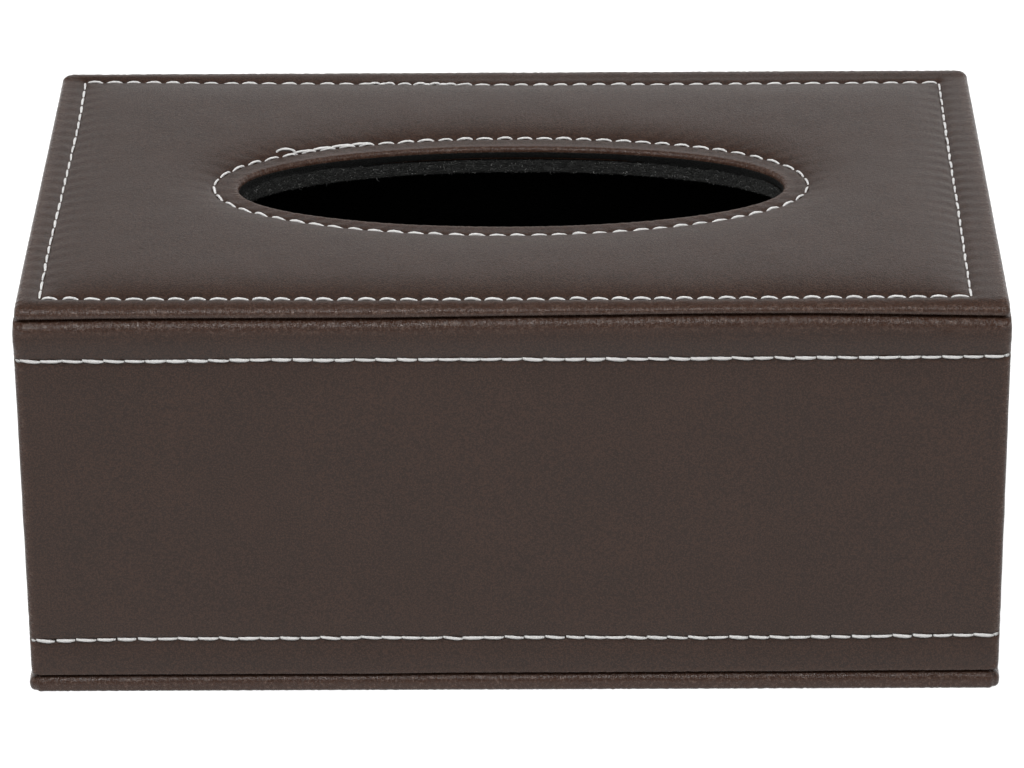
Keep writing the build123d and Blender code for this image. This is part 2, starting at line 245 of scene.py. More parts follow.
class MeshDraft:
    """Points and faces for one mesh, in millimetres, with a fold and a way for each point."""

    def __init__(self) -> None:
        """Starts an empty draft."""
        self.points: list[Array] = []
        self.folds: list[Array] = []
        self.ways: list[Array] = []
        self.quads: list[Array] = []
        self.caps: list[list[int]] = []
        self.count = 0

    def add(
        self,
        points: Array,
        fold: Values = 0.0,
        way: Union[Sequence[float], Array] = (0, 0, 0),
    ) -> Array:
        """Adds points and numbers them.

        Args:
            points: coordinates, in an array whose last axis is x, y, z.
            fold: how creased the leather is there, from 0 to 1.
            way: shares, along x, y and z, of the way that the nearest edge runs.

        Returns:
            The points' numbers, in the shape of the array.
        """
        shape = points.shape[:-1]
        total = int(np.prod(shape))
        self.points.append(points.reshape(-1, 3))
        self.folds.append(np.broadcast_to(fold, shape).reshape(-1))
        self.ways.append(np.broadcast_to(way, shape + (3,)).reshape(-1, 3))
        numbers = np.arange(self.count, self.count + total).reshape(shape)
        self.count += total
        return numbers

    def strip(self, first: Array, second: Array, closed: bool = False) -> None:
        """Joins two rows of numbers with a row of four-sided faces."""
        if closed:
            first = np.append(first, first[0])
            second = np.append(second, second[0])
        self.quads.append(np.stack([first[:-1], first[1:], second[1:], second[:-1]], axis=-1))

    def patch(self, numbers: Array) -> None:
        """Joins a grid of numbers into faces."""
        corners = [numbers[:-1, :-1], numbers[:-1, 1:], numbers[1:, 1:], numbers[1:, :-1]]
        self.quads.append(np.stack(corners, axis=-1).reshape(-1, 4))

    def loft(self, rings: Sequence[Array], closed: bool) -> None:
        """Joins closed rings one after another, and the last to the first if closed."""
        for first, second in zip(rings[:-1], rings[1:]):
            self.strip(first, second, closed=True)
        if closed:
            self.strip(rings[-1], rings[0], closed=True)

    def cap(self, ring: Array, far_side: bool = False) -> None:
        """Closes a ring with one face."""
        self.caps.append(list(ring[::-1] if far_side else ring))

    def volume(self) -> float:
        """Signed volume inside the faces, above 0 where they point outwards."""
        points = np.concatenate(self.points)
        total = 0.0
        corners = np.concatenate(self.quads)
        a, b, c, d = (points[corners[:, k]] for k in range(4))
        total += float(np.sum(a * np.cross(b, c)) + np.sum(a * np.cross(c, d)))
        for cap in self.caps:
            middle = points[cap].mean(axis=0)
            total += float(np.sum(np.cross(points[cap], points[np.roll(cap, -1)]) * middle))
        return total / 6

    def tube(self, name: str, rings: Sequence[Array], carried: str = "edge_way") -> Thing:
        """Makes the mesh object of a strand from its rings, closed at both ends.

        Args:
            name: the piece's name.
            rings: numbers of the points round the strand, from end to end.
            carried: name of the attribute that keeps the points' ways.

        Returns:
            The new object.
        """
        self.loft(rings, closed=False)
        self.cap(rings[0], far_side=True)
        self.cap(rings[-1])
        return self.finish(name, carried)

    def finish(self, name: str, carried: str = "edge_way") -> Thing:
        """Makes the mesh object, with its faces pointing outwards.

        Args:
            name: the piece's name.
            carried: name of the attribute that keeps the points' ways.

        Returns:
            The new object, at the origin, in metres.
        """
        corners = np.concatenate(self.quads)
        caps = self.caps
        if self.volume() < 0:
            corners = corners[:, ::-1]
            caps = [cap[::-1] for cap in caps]
        mesh = bpy.data.meshes.new(name)
        points = np.concatenate(self.points) * MM
        faces = corners.tolist() + [[int(n) for n in cap] for cap in caps]
        mesh.from_pydata(points.tolist(), [], faces)
        mesh.polygons.foreach_set("use_smooth", [True] * len(corners) + [False] * len(caps))
        fold = mesh.attributes.new("fold", "FLOAT", "POINT")
        fold.data.foreach_set("value", np.concatenate(self.folds).astype(np.float32))
        way = mesh.attributes.new(carried, "FLOAT_VECTOR", "POINT")
        way.data.foreach_set("vector", np.concatenate(self.ways).astype(np.float32).ravel())
        mesh.validate()
        mesh.update()
        return link(bpy.data.objects.new(name, mesh))


def link(obj: Thing) -> Thing:
    """Puts a new object into the scene."""
    bpy.context.scene.collection.objects.link(obj)
    return obj


# ---- node helpers ----


class NodeBench:
    """Adds and joins nodes in one tree."""

    def __init__(self, tree: Tree) -> None:
        """Works on a tree."""
        self.tree = tree

    def add(
        self, kind: str, feeds: Optional[dict[Union[str, int], Feed]] = None, **settings: object
    ) -> Node:
        """Adds a node.

        Args:
            kind: the node's type.
            feeds: socket name, identifier or number to a value or to another node's output.
            settings: properties of the node itself.

        Returns:
            The new node.
        """
        node = self.tree.nodes.new(kind)
        for key, value in settings.items():
            setattr(node, key, value)
        for socket, value in (feeds or {}).items():
            self.feed(node, socket, value)
        return node

    def feed(self, node: Node, socket: Union[str, int], value: Feed) -> None:
        """Joins an output to a node's input, or sets that input to a plain value."""
        target = node.inputs[socket] if isinstance(socket, int) else self.find(node, socket)
        if isinstance(value, Socket):
            self.tree.links.new(value, target)
        else:
            target.default_value = value

    @staticmethod
    def find(node: Node, name: str) -> Socket:
        """The node's input with that identifier, or else with that name."""
        by_identifier = [s for s in node.inputs if s.identifier == name]
        return (by_identifier or [s for s in node.inputs if s.name == name])[0]

    def math(self, operation: str, first: Feed, second: Feed = 0.0, third: Feed = 0.0) -> Socket:
        """Output of a Math node."""
        node = self.add("ShaderNodeMath", {0: first, 1: second, 2: third}, operation=operation)
        return node.outputs[0]

    def plus(self, first: Feed, second: Feed) -> Socket:
        """Sum of two values."""
        return self.math("ADD", first, second)

    def times(self, first: Feed, second: Feed, rest: Optional[Feed] = None) -> Socket:
        """Product of two values, and a rest added to it if there is one."""
        if rest is None:
            return self.math("MULTIPLY", first, second)
        return self.math("MULTIPLY_ADD", first, second, rest)

    def most(self, first: Feed, second: Feed) -> Socket:
        """The larger of two values."""
        return self.math("MAXIMUM", first, second)

    def vector(
        self, operation: str, first: Feed, second: Feed = (0, 0, 0), scale: Feed = 1.0
    ) -> Node:
        """A Vector Math node."""
        feeds = {0: first, 1: second, "Scale": scale}
        return self.add("ShaderNodeVectorMath", feeds, operation=operation)

    def noise(self, place: Feed, scale: float, **more: float) -> Node:
        """A noise texture over places."""
        return self.add("ShaderNodeTexNoise", {"Vector": place, "Scale": scale, **more})

    def span(
        self, value: Feed, low: float, high: float, start: Feed = 0.0, end: Feed = 1.0
    ) -> Socket:
        """Value mapped from low..high to start..end, softly and clamped."""
        feeds = {"Value": value, "From Min": low, "From Max": high, "To Min": start, "To Max": end}
        return self.add("ShaderNodeMapRange", feeds, interpolation_type="SMOOTHSTEP").outputs[0]

    def blend(self, factor: Feed, first: Feed, second: Feed, way: str = "MIX") -> Socket:
        """Colour mixed from two."""
        feeds = {"Factor_Float": factor, "A_Color": first, "B_Color": second}
        node = self.add("ShaderNodeMix", feeds, data_type="RGBA", blend_type=way)
        return [s for s in node.outputs if s.identifier == "Result_Color"][0]

    def named(self, name: str, kind: str) -> Socket:
        """An attribute that the geometry carries."""
        node = self.add("GeometryNodeInputNamedAttribute", {"Name": name}, data_type=kind)
        return node.outputs[0]

    def chance(self, low: Sequence[float], high: Sequence[float], seed: Feed) -> Socket:
        """A random vector between two, another one for each element."""
        feeds = {"Min": low, "Max": high, "Seed": seed}
        return self.add("FunctionNodeRandomValue", feeds, data_type="FLOAT_VECTOR").outputs[0]

    def leaned(self, rotation: Feed, angles: Feed) -> Socket:
        """A rotation turned further by three angles, in its own axes."""
        lean = self.add("FunctionNodeEulerToRotation", {"Euler": angles}).outputs[0]
        feeds = {"Rotation": rotation, "Rotate By": lean}
        return self.add("FunctionNodeRotateRotation", feeds, rotation_space="LOCAL").outputs[0]


def interface(tree: Tree, direction: str, sockets: dict[str, str]) -> None:
    """Gives a tree named sockets, each of a given type."""
    for name, kind in sockets.items():
        tree.interface.new_socket(name=name, in_out=direction, socket_type="NodeSocket" + kind)


def linear(red: int, green: int, blue: int) -> Colour:
    """A screen colour (0 to 255 each) as the linear colour that a shader takes."""
    values = [v / 255 for v in (red, green, blue)]
    low = [v / 12.92 if v <= 0.04045 else ((v + 0.055) / 1.055) ** 2.4 for v in values]
    return (low[0], low[1], low[2], 1.0)


# ---- shared surface effects ----


class SurfaceEffects:
    """Shader node groups that several finishes share, each built once."""

    def __init__(self) -> None:
        """Builds every group."""
        self.grain = self._grain()
        self.fibres = self._fibres()
        self.creases = self._creases()
        self.mottle = self._mottle()

    @staticmethod
    def _start(
        name: str, inputs: dict[str, str], outputs: dict[str, str]
    ) -> tuple[NodeBench, Node, Node]:
        """Makes an empty group with its sockets, and its two end nodes."""
        tree = bpy.data.node_groups.new(name, "ShaderNodeTree")
        interface(tree, "INPUT", inputs)
        interface(tree, "OUTPUT", outputs)
        bench = NodeBench(tree)
        return bench, bench.add("NodeGroupInput"), bench.add("NodeGroupOutput")

    @staticmethod
    def _place(bench: NodeBench, start: Node, size: str) -> Socket:
        """The group's places, counted in steps of one of its sizes."""
        pace = bench.math("DIVIDE", 1.0, start.outputs[size])
        return bench.vector("SCALE", start.outputs["Place"], scale=pace).outputs[0]

    def _grain(self) -> Tree:
        """Leather grain: small pebbles parted by fine valleys, tiny specks, and a softer swell."""
        sockets = {"Height": "Float", "Valleys": "Float", "Specks": "Float"}
        bench, start, end = self._start("grain", {"Place": "Vector", "Size": "Float"}, sockets)
        place = self._place(bench, start, "Size")
        bend = bench.noise(place, 0.8, Detail=2.0)
        shift = bench.vector("SCALE", bend.outputs["Color"], scale=0.9).outputs[0]
        bent = bench.vector("ADD", place, shift).outputs[0]
        feeds = {"Vector": bent, "Scale": 1.0}
        pebbles = bench.add("ShaderNodeTexVoronoi", feeds, feature="DISTANCE_TO_EDGE")
        valleys = bench.span(pebbles.outputs["Distance"], 0.0, 0.24, 1.0, 0.0)
        fine = bench.noise(place, 1.1, Detail=3.0, Roughness=0.75)
        specks = bench.span(fine.outputs["Fac"], 0.4, 0.6)
        swell = bench.noise(place, 0.45, Detail=4.0, Roughness=0.62)
        height = bench.math("SUBTRACT", swell.outputs["Fac"], bench.times(valleys, 0.34))
        height = bench.times(specks, 0.16, height)
        bench.feed(end, "Height", height)
        bench.feed(end, "Valleys", valleys)
        bench.feed(end, "Specks", specks)
        return bench.tree

    def _fibres(self) -> Tree:
        """Short fibres lying every way, as in felt, paper and card."""
        sockets = {"Height": "Float", "Lit": "Float"}
        bench, start, end = self._start("fibres", {"Place": "Vector", "Length": "Float"}, sockets)
        place = self._place(bench, start, "Length")
        layers = []
        for turn in ((0.3, 0.9, 0.2), (1.3, 0.4, 2.1), (2.4, 1.7, 1.1)):
            feeds = {"Vector": place, "Rotation": turn, "Scale": (1.0, 7.0, 7.0)}
            turned = bench.add("ShaderNodeMapping", feeds, vector_type="POINT").outputs[0]
            strands = bench.noise(turned, 1.3, Detail=2.0, Distortion=0.6)
            layers.append(bench.span(strands.outputs["Fac"], 0.5, 0.68))
        top = bench.most(bench.most(layers[0], layers[1]), layers[2])
        bench.feed(end, "Height", top)
        bench.feed(end, "Lit", bench.times(layers[0], layers[2]))
        return bench.tree

    def _creases(self) -> Tree:
        """Fine folds that cross a turned edge, for each of the three ways that an edge can run."""
        sockets = {"Place": "Vector", "Way": "Vector", "Fold": "Float", "Spacing": "Float"}
        bench, start, end = self._start("creases", sockets, {"Height": "Float", "Worn": "Float"})
        place = self._place(bench, start, "Spacing")
        shares = bench.add("ShaderNodeSeparateXYZ", {"Vector": start.outputs["Way"]}).outputs
        total: Feed = 0.0
        for number, stretch in enumerate(((1.0, 0.34, 0.34), (0.34, 1.0, 0.34), (0.34, 0.34, 1.0))):
            squeezed = bench.vector("MULTIPLY", place, stretch).outputs[0]
            folds = bench.noise(squeezed, 1.0, Detail=3.0, Distortion=0.7)
            ridge = bench.math("ABSOLUTE", bench.math("SUBTRACT", folds.outputs["Fac"], 0.5))
            sharp = bench.span(ridge, 0.0, 0.1, 1.0, 0.0)
            total = bench.times(sharp, shares[number], total)
        # Patches on the folds where the leather turns pale: part wear, part painted highlight.
        patches = bench.noise(place, 1.5, Detail=3.0, Roughness=0.75)
        patchy = bench.span(patches.outputs["Fac"], 0.48, 0.66)
        bench.feed(end, "Height", bench.times(total, start.outputs["Fold"]))
        bench.feed(end, "Worn", bench.times(patchy, start.outputs["Fold"]))
        return bench.tree

    def _mottle(self) -> Tree:
        """Soft light and dark patches."""
        sockets = {"Place": "Vector", "Size": "Float"}
        bench, start, end = self._start("mottle", sockets, {"Shade": "Float"})
        place = self._place(bench, start, "Size")
        noise = bench.noise(place, 1.0, Detail=5.0, Roughness=0.6)
        bench.feed(end, "Shade", bench.span(noise.outputs["Fac"], 0.3, 0.7))
        return bench.tree


class Material:
    """A Principled material in the making."""

    def __init__(self, name: str, **plain: Feed) -> None:
        """Starts a material.

        Args:
            name: the material's name.
            plain: values set straight on the shader's sockets, by name with underscores.
        """
        self.data = bpy.data.materials.new(name)
        self.data.use_nodes = True
        self.bench = NodeBench(self.data.node_tree)
        self.shader = self.data.node_tree.nodes["Principled BSDF"]
        for socket, value in plain.items():
            self.bench.feed(self.shader, socket.replace("_", " "), value)
        self.place = self.bench.add("ShaderNodeTexCoord").outputs["Object"]

    def group(self, tree: Tree, **feeds: Feed) -> Node:
        """Adds a shared effect with its own values."""
        node = self.bench.add("ShaderNodeGroup", node_tree=tree)
        for socket, value in feeds.items():
            self.bench.feed(node, socket.replace("_", " "), value)
        return node

    def attribute(self, name: str) -> Node:
        """Reads one of the mesh's own attributes."""
        return self.bench.add("ShaderNodeAttribute", attribute_name=name)

    def bump(self, height: Feed, depth: float, under: Optional[Socket] = None) -> Socket:
        """A normal roughened by a height, in metres of depth."""
        feeds: dict[Union[str, int], Feed] = {"Height": height, "Distance": depth, "Strength": 1.0}
        if under is not None:
            feeds["Normal"] = under
        return self.bench.add("ShaderNodeBump", feeds).outputs[0]


@dataclass(frozen=True)
class LeatherFinish:
    """Dark brown satin imitation leather with a fine grain, redder on its turned edges."""

    colour: Colour = linear(68, 47, 37)
    deep: Colour = linear(42, 28, 21)
    edge_tint: Colour = linear(78, 52, 40)
    # Pale flecks on turned edges: part wear, part painted highlight.
    worn: Colour = linear(110, 90, 80)
    roughness: float = 0.35
    grain_size: float = 0.56 * MM
    grain_depth: float = 0.08 * MM
    crease_spacing: float = 1.5 * MM
    crease_depth: float = 0.06 * MM

    def make(self, effects: SurfaceEffects) -> bpy.types.Material:
        """Builds the material."""
        skin = Material("leather", Specular_IOR_Level=0.34)
        bench = skin.bench
        grain = skin.group(effects.grain, Place=skin.place, Size=self.grain_size)
        fold = skin.attribute("fold").outputs["Fac"]
        way = skin.attribute("edge_way").outputs["Vector"]
        creases = skin.group(
            effects.creases, Place=skin.place, Way=way, Fold=fold, Spacing=self.crease_spacing
        )
        mottle = skin.group(effects.mottle, Place=skin.place, Size=16 * MM)
        valleys, specks = grain.outputs["Valleys"], grain.outputs["Specks"]
        shade = bench.times(mottle.outputs["Shade"], 0.2)
        shade = bench.times(valleys, 0.6, shade)
        dark = bench.times(specks, -0.9, bench.plus(shade, 0.65))
        base = bench.blend(dark, self.colour, self.deep)
        # Redder and a little lighter where the fold mask marks a turned edge.
        base = bench.blend(bench.times(fold, 0.4), base, self.edge_tint)
        # Pale flecks on the folds of the edges, part wear and part painted highlight.
        worn_highlight_mask = bench.times(creases.outputs["Worn"], bench.times(specks, 0.6, 0.3))
        bench.feed(skin.shader, "Base Color", bench.blend(worn_highlight_mask, base, self.worn))
        rough = bench.times(valleys, 0.12, self.roughness)
        rough = bench.math("SUBTRACT", rough, bench.times(fold, 0.16))
        bench.feed(skin.shader, "Roughness", rough)
        pressed = skin.bump(grain.outputs["Height"], self.grain_depth)
        folded = skin.bump(creases.outputs["Height"], self.crease_depth, pressed)
        bench.feed(skin.shader, "Normal", folded)
        return skin.data


@dataclass(frozen=True)
class ThreadFinish:
    """White twisted sewing thread, with painted shade in the grooves between its plies."""

    colour: Colour = linear(255, 254, 252)
    shade: Colour = linear(230, 226, 219)
    ply_length: float = 0.9 * MM

    def make(self, effects: SurfaceEffects) -> bpy.types.Material:
        """Builds the material."""
        thread = Material("thread", Roughness=0.6, Sheen_Weight=0.9, Specular_IOR_Level=0.35)
        bench = thread.bench
        fibres = thread.group(effects.fibres, Place=thread.place, Length=self.ply_length)
        tone = thread.attribute("tone").outputs["Fac"]
        seam = thread.attribute("ply").outputs["Vector"]
        feeds = {"Vector": seam, "Scale": 1.0, "Distortion": 0.4}
        twist = bench.add("ShaderNodeTexWave", feeds, bands_direction="DIAGONAL")
        # Painted shade: a darker colour in the grooves between the plies, plus a random tone for
        # each stitch.
        grey = bench.times(bench.math("SUBTRACT", 1.0, twist.outputs["Fac"]), 0.12)
        grey = bench.plus(grey, bench.times(tone, 0.05))
        bench.feed(thread.shader, "Base Color", bench.blend(grey, self.colour, self.shade))
        rope = thread.bump(twist.outputs["Fac"], 0.12 * MM)
        bench.feed(thread.shader, "Normal", thread.bump(fibres.outputs["Height"], 0.04 * MM, rope))
        return thread.data


@dataclass(frozen=True)
class FeltFinish:
    """Black needled felt with pale loose fibres at its cut edge, some partly painted glints."""

    colour: Colour = linear(6, 7, 6)
    lit: Colour = linear(44, 45, 44)
    pale: Colour = linear(176, 177, 174)
    fibre_length: float = 2.2 * MM

    def make(self, effects: SurfaceEffects) -> bpy.types.Material:
        """Builds the material."""
        felt = Material("felt", Roughness=0.9, Sheen_Weight=0.05, Specular_IOR_Level=0.15)
        bench = felt.bench
        fibres = felt.group(effects.fibres, Place=felt.place, Length=self.fibre_length)
        mottle = felt.group(effects.mottle, Place=felt.place, Size=3 * MM)
        edge = felt.attribute("fold").outputs["Fac"]
        # A few loose fibres turn nearly white at random: pale lint, and in part painted glints of
        # fibres catching the light.
        tone = bench.math("POWER", felt.attribute("tone").outputs["Fac"], 4.0)
        patches = bench.span(mottle.outputs["Shade"], 0.3, 0.9)
        fleck = bench.times(fibres.outputs["Lit"], patches)
        base = bench.blend(fleck, self.colour, self.lit)
        frayed = bench.times(edge, bench.times(fibres.outputs["Height"], 0.08, 0.03))
        pale = bench.plus(frayed, tone)
        bench.feed(felt.shader, "Base Color", bench.blend(pale, base, self.pale))
        bench.feed(felt.shader, "Normal", felt.bump(fibres.outputs["Height"], 0.25 * MM))
        return felt.data


@dataclass(frozen=True)
class FibreFinish:
    """A fibrous sheet material, such as board, card or paper."""

    name: str
    colour: Colour
    shade: Colour
    roughness: float
    fibre_length: float
    depth: float

    def make(self, effects: SurfaceEffects) -> bpy.types.Material:
        """Builds the material."""
        sheet = Material(self.name, Specular_IOR_Level=0.3)
        bench = sheet.bench
        fibres = sheet.group(effects.fibres, Place=sheet.place, Length=self.fibre_length)
        mottle = sheet.group(effects.mottle, Place=sheet.place, Size=8 * MM)
        soft = bench.times(mottle.outputs["Shade"], 0.5)
        mix = bench.times(fibres.outputs["Height"], 0.5, soft)
        bench.feed(sheet.shader, "Base Color", bench.blend(mix, self.colour, self.shade))
        bench.feed(sheet.shader, "Roughness", bench.times(mix, 0.15, self.roughness))
        bench.feed(sheet.shader, "Normal", sheet.bump(fibres.outputs["Height"], self.depth))
        return sheet.data


@dataclass(frozen=True)
class MetalFinish:
    """Plated or bare metal with fine scratches."""

    name: str
    colour: Colour
    roughness: float

    def make(self, effects: SurfaceEffects) -> bpy.types.Material:
        """Builds the material."""
        metal = Material(self.name, Metallic=1.0, Base_Color=self.colour)
        bench = metal.bench
        scratches = metal.group(effects.fibres, Place=metal.place, Length=6 * MM)
        mottle = metal.group(effects.mottle, Place=metal.place, Size=9 * MM)
        rough = bench.times(mottle.outputs["Shade"], 0.15, self.roughness)
        bench.feed(metal.shader, "Roughness", rough)
        bench.feed(metal.shader, "Normal", metal.bump(scratches.outputs["Height"], 0.01 * MM))
        return metal.data


FINISHES = {
    Slot.LEATHER: LeatherFinish(),
    Slot.THREAD: ThreadFinish(),
    Slot.FELT: FeltFinish(),
    Slot.BOARD: FibreFinish(
        "board", linear(172, 143, 110), linear(136, 106, 76), 0.7, 3 * MM, 0.06 * MM
    ),
    Slot.TRAY_BOARD: FibreFinish(
        "black_paper", linear(30, 29, 29), linear(18, 18, 18), 0.55, 2.4 * MM, 0.03 * MM
    ),
    Slot.CARD: FibreFinish(
        "card", linear(150, 142, 130), linear(122, 112, 98), 0.8, 2 * MM, 0.05 * MM
    ),
    Slot.FOAM: FibreFinish(
        "foam", linear(206, 202, 186), linear(178, 172, 150), 0.95, 0.9 * MM, 0.2 * MM
    ),
    Slot.MAGNET: MetalFinish("magnet", linear(196, 196, 198), 0.28),
    Slot.STEEL: MetalFinish("steel", linear(188, 188, 188), 0.4),
}


class Workshop:
    """Holds the finishes and puts pieces into the model."""

    def __init__(self) -> None:
        """Builds every finish once."""
        effects = SurfaceEffects()
        self.materials = {slot: finish.make(effects) for slot, finish in FINISHES.items()}

    def dress(self, piece: Thing, slot: Slot) -> None:
        """Gives a piece its finish."""
        piece.data.materials.clear()
        piece.data.materials.append(self.materials[slot])

    def mount(self, piece: Thing, body: Body, slot: Slot, *nodes: str) -> Thing:
        """Dresses a piece, lets it ride on a body and has it stand for nodes of the frame.

        Args:
            piece: the new piece.
            body: the body that it moves with.
            slot: the finish that it gets.
            nodes: the nodes that it stands for.

        Returns:
            The same piece.
        """
        self.dress(piece, slot)
        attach(piece, body.value)
        if nodes:
            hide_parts(*nodes)
        LOG.info("%s: %d faces, on the %s", piece.name, len(piece.data.polygons), body.value)
        return piece


# ---- sewing ----


@dataclass
class SeamPath:
    """Lines that a row of stitches follows, in millimetres, each with its outward direction."""

    lines: list[tuple[Array, Array, float]] = field(default_factory=list)

    def add(self, points: Array, outward: Array, spacing: float = 1.0) -> None:
        """Adds one line.

        Args:
            points: places of the line on the leather.
            outward: direction away from the leather at each place.
            spacing: length of its stitches, as a share of the usual one.
        """
        self.lines.append((points, outward, spacing))

    def mesh(self, name: str) -> Thing:
        """The lines as a mesh of edges that carries their directions."""
        points = np.concatenate([line[0] for line in self.lines]) * MM
        outward = np.concatenate([line[1] for line in self.lines])
        spacing = np.concatenate([np.full(len(line[0]), line[2]) for line in self.lines])
        edges: list[tuple[int, int]] = []
        start = 0
        for line in self.lines:
            edges += [(start + k, start + k + 1) for k in range(len(line[0]) - 1)]
            start += len(line[0])
        mesh = bpy.data.meshes.new(name)
        mesh.from_pydata(points.tolist(), edges, [])
        up = mesh.attributes.new("outward", "FLOAT_VECTOR", "POINT")
        up.data.foreach_set("vector", outward.astype(np.float32).ravel())
        share = mesh.attributes.new("spacing", "FLOAT", "POINT")
        share.data.foreach_set("value", spacing.astype(np.float32))
        return link(bpy.data.objects.new(name, mesh))


@dataclass
class Strand:
    """One stitch: it leaves a needle hole, arches over the leather and dives into the next."""

    name: str
    width: float = 0.7
    height: float = 0.64
    lift: float = 0.5
    dive: float = 0.5
    peak: float = -0.16
    fullness: float = 0.5
    end_girth: float = 0.45
    taper: float = 3.2
    pinch: float = 0.14
    twist: float = 0.9
    ply: float = 2.6
    turns: int = 9
    sides: int = 6

    def build(self) -> Thing:
        """Makes the stitch along +X, one metre long to be scaled, its other sizes real."""
        draft = MeshDraft()
        rings = []
        for k in range(self.turns + 1):
            t = -math.cos(math.pi * k / self.turns)
            skewed = (t - self.peak * (1 - t * t)) if abs(t) < 1 else t
            body = (1 - abs(t) ** self.taper) ** 0.5
            arch = max(1 - skewed * skewed, 0.0) ** self.fullness
            middle = -self.dive + (self.lift + self.dive) * arch
            angle = np.linspace(0, 2 * math.pi, self.sides, endpoint=False) + self.twist * t
            girth = self.end_girth + (1 - self.end_girth) * body
            pinch = 1 + self.pinch * np.cos(2 * angle + 5 * t)
            y = 0.5 * self.width * girth * pinch * np.cos(angle)
            z = middle + 0.5 * self.height * girth * pinch * np.sin(angle)
            x = np.full(self.sides, 0.5 * t / MM)
            ring = np.column_stack([x, y, z])
            run = np.full(self.sides, self.ply * t)
            ply = np.column_stack([run, angle / math.pi, np.zeros(self.sides)])
            rings.append(draft.add(ring, way=ply))
        return draft.tube(self.name, rings, "ply")


class Sewing:
    """Lays stitches from needle hole to needle hole with one Geometry Nodes tree."""

    SWING = (0.05, 0.04, 0.075)
    SMALLEST = (0.94, 0.84, 0.85)
    LARGEST = (1.1, 1.12, 1.14)
    FLAT_SLANT = -0.04

    def __init__(self, workshop: Workshop) -> None:
        """Builds the tree and the strands that it repeats."""
        self.workshop = workshop
        self.arched = Strand("arched_strand").build()
        flat = Strand("flat_strand", width=0.92, height=0.8, lift=0.3, peak=-0.1, fullness=0.3)
        self.flat = flat.build()
        self.tree = self._tree()

    def _tree(self) -> Tree:
        """The tree: path to evenly spaced holes, a strand for each step between them."""
        tree = bpy.data.node_groups.new("stitches", "GeometryNodeTree")
        tree.is_modifier = True
        sizes = ("Pitch", "Slant", "Unevenness", "Thickness", "Cover")
        inputs = {"Path": "Geometry", "Strand": "Object", **dict.fromkeys(sizes, "Float")}
        interface(tree, "INPUT", {**inputs, "Seed": "Int", "Thread": "Material"})
        interface(tree, "OUTPUT", {"Stitches": "Geometry"})
        bench = NodeBench(tree)
        start = bench.add("NodeGroupInput").outputs
        end = bench.add("NodeGroupOutput")

        curve = bench.add("GeometryNodeMeshToCurve", {"Mesh": start["Path"]}).outputs[0]
        spacing = bench.named("spacing", "FLOAT")
        length = bench.add("GeometryNodeSplineLength").outputs["Length"]
        pitch = bench.times(start["Pitch"], spacing)
        steps = bench.most(bench.math("ROUND", bench.math("DIVIDE", length, pitch)), 1.0)
        feeds = {"Curve": curve, "Count": bench.plus(steps, 1.0)}
        holes = bench.add("GeometryNodeResampleCurve", feeds, mode="COUNT").outputs[0]
        steps_mesh = bench.add("GeometryNodeCurveToMesh", {"Curve": holes}).outputs[0]

        ends = bench.add("GeometryNodeInputMeshEdgeVertices").outputs
        chord = bench.vector("SUBTRACT", ends["Position 2"], ends["Position 1"]).outputs[0]
        capture = bench.add("GeometryNodeCaptureAttribute", {"Geometry": steps_mesh}, domain="EDGE")
        capture.capture_items.new("VECTOR", "chord")
        bench.feed(capture, 1, chord)
        feeds = {"Mesh": capture.outputs["Geometry"]}
        middles = bench.add("GeometryNodeMeshToPoints", feeds, mode="EDGES").outputs[0]
        held = capture.outputs[1]

        outward = bench.named("outward", "FLOAT_VECTOR")
        feeds = {"Primary Axis": held, "Secondary Axis": outward}
        kind = "FunctionNodeAxesToRotation"
        axes = bench.add(kind, feeds, primary_axis="X", secondary_axis="Z").outputs[0]
        swing = bench.chance([-angle for angle in self.SWING], self.SWING, start["Seed"])
        swing = bench.vector("SCALE", swing, scale=start["Unevenness"]).outputs[0]
        slant = bench.add("ShaderNodeCombineXYZ", {"Z": start["Slant"]}).outputs[0]
        turned = bench.leaned(axes, bench.vector("ADD", swing, slant).outputs[0])

        reach = bench.times(bench.vector("LENGTH", held).outputs["Value"], start["Cover"])
        vary = bench.chance(self.SMALLEST, self.LARGEST, bench.plus(start["Seed"], SIZE_SEED))
        thick = start["Thickness"]
        cross = bench.add("ShaderNodeCombineXYZ", {"X": reach, "Y": thick, "Z": thick}).outputs[0]
        scale = bench.vector("MULTIPLY", cross, vary).outputs[0]
        laid = {"Points": middles, "Rotation": turned, "Scale": scale}
        done = planted(bench, start["Strand"], laid, start["Seed"], start["Thread"])
        bench.feed(end, "Stitches", done)
        return tree

    def row(
        self,
        name: str,
        path: SeamPath,
        body: Body,
        nodes: Sequence[str],
        seed: int,
        strand: Thing,
        slant: float = 0.0,
        unevenness: float = 1.0,
        thickness: float = 1.0,
        cover: float = 1.0,
    ) -> Thing:
        """Sews one row and mounts it.

        Args:
            name: the piece's name.
            path: the lines that it follows.
            body: the body that it moves with.
            nodes: the nodes that it stands for.
            seed: number that its unevenness follows.
            strand: the stitch that it repeats.
            slant: turn of every stitch in the leather's plane, in radians.
            unevenness: how crooked the stitches are, 1 being usual.
            thickness: thread thickness, as a share of the usual one.
            cover: share of the way from hole to hole that the thread fills.

        Returns:
            The row, a plain mesh.
        """
        carrier = path.mesh(name + "_path")
        modifier = carrier.modifiers.new("stitches", "NODES")
        modifier.node_group = self.tree
        values = {
            "Strand": strand,
            "Pitch": SHEETS.stitch_pitch * MM,
            "Slant": slant,
            "Unevenness": unevenness,
            "Thickness": thickness,
            "Cover": cover,
            "Seed": seed,
            "Thread": self.workshop.materials[Slot.THREAD],
        }
        piece = realised(carrier, modifier, values, name)
        return self.workshop.mount(piece, body, Slot.THREAD, *nodes)

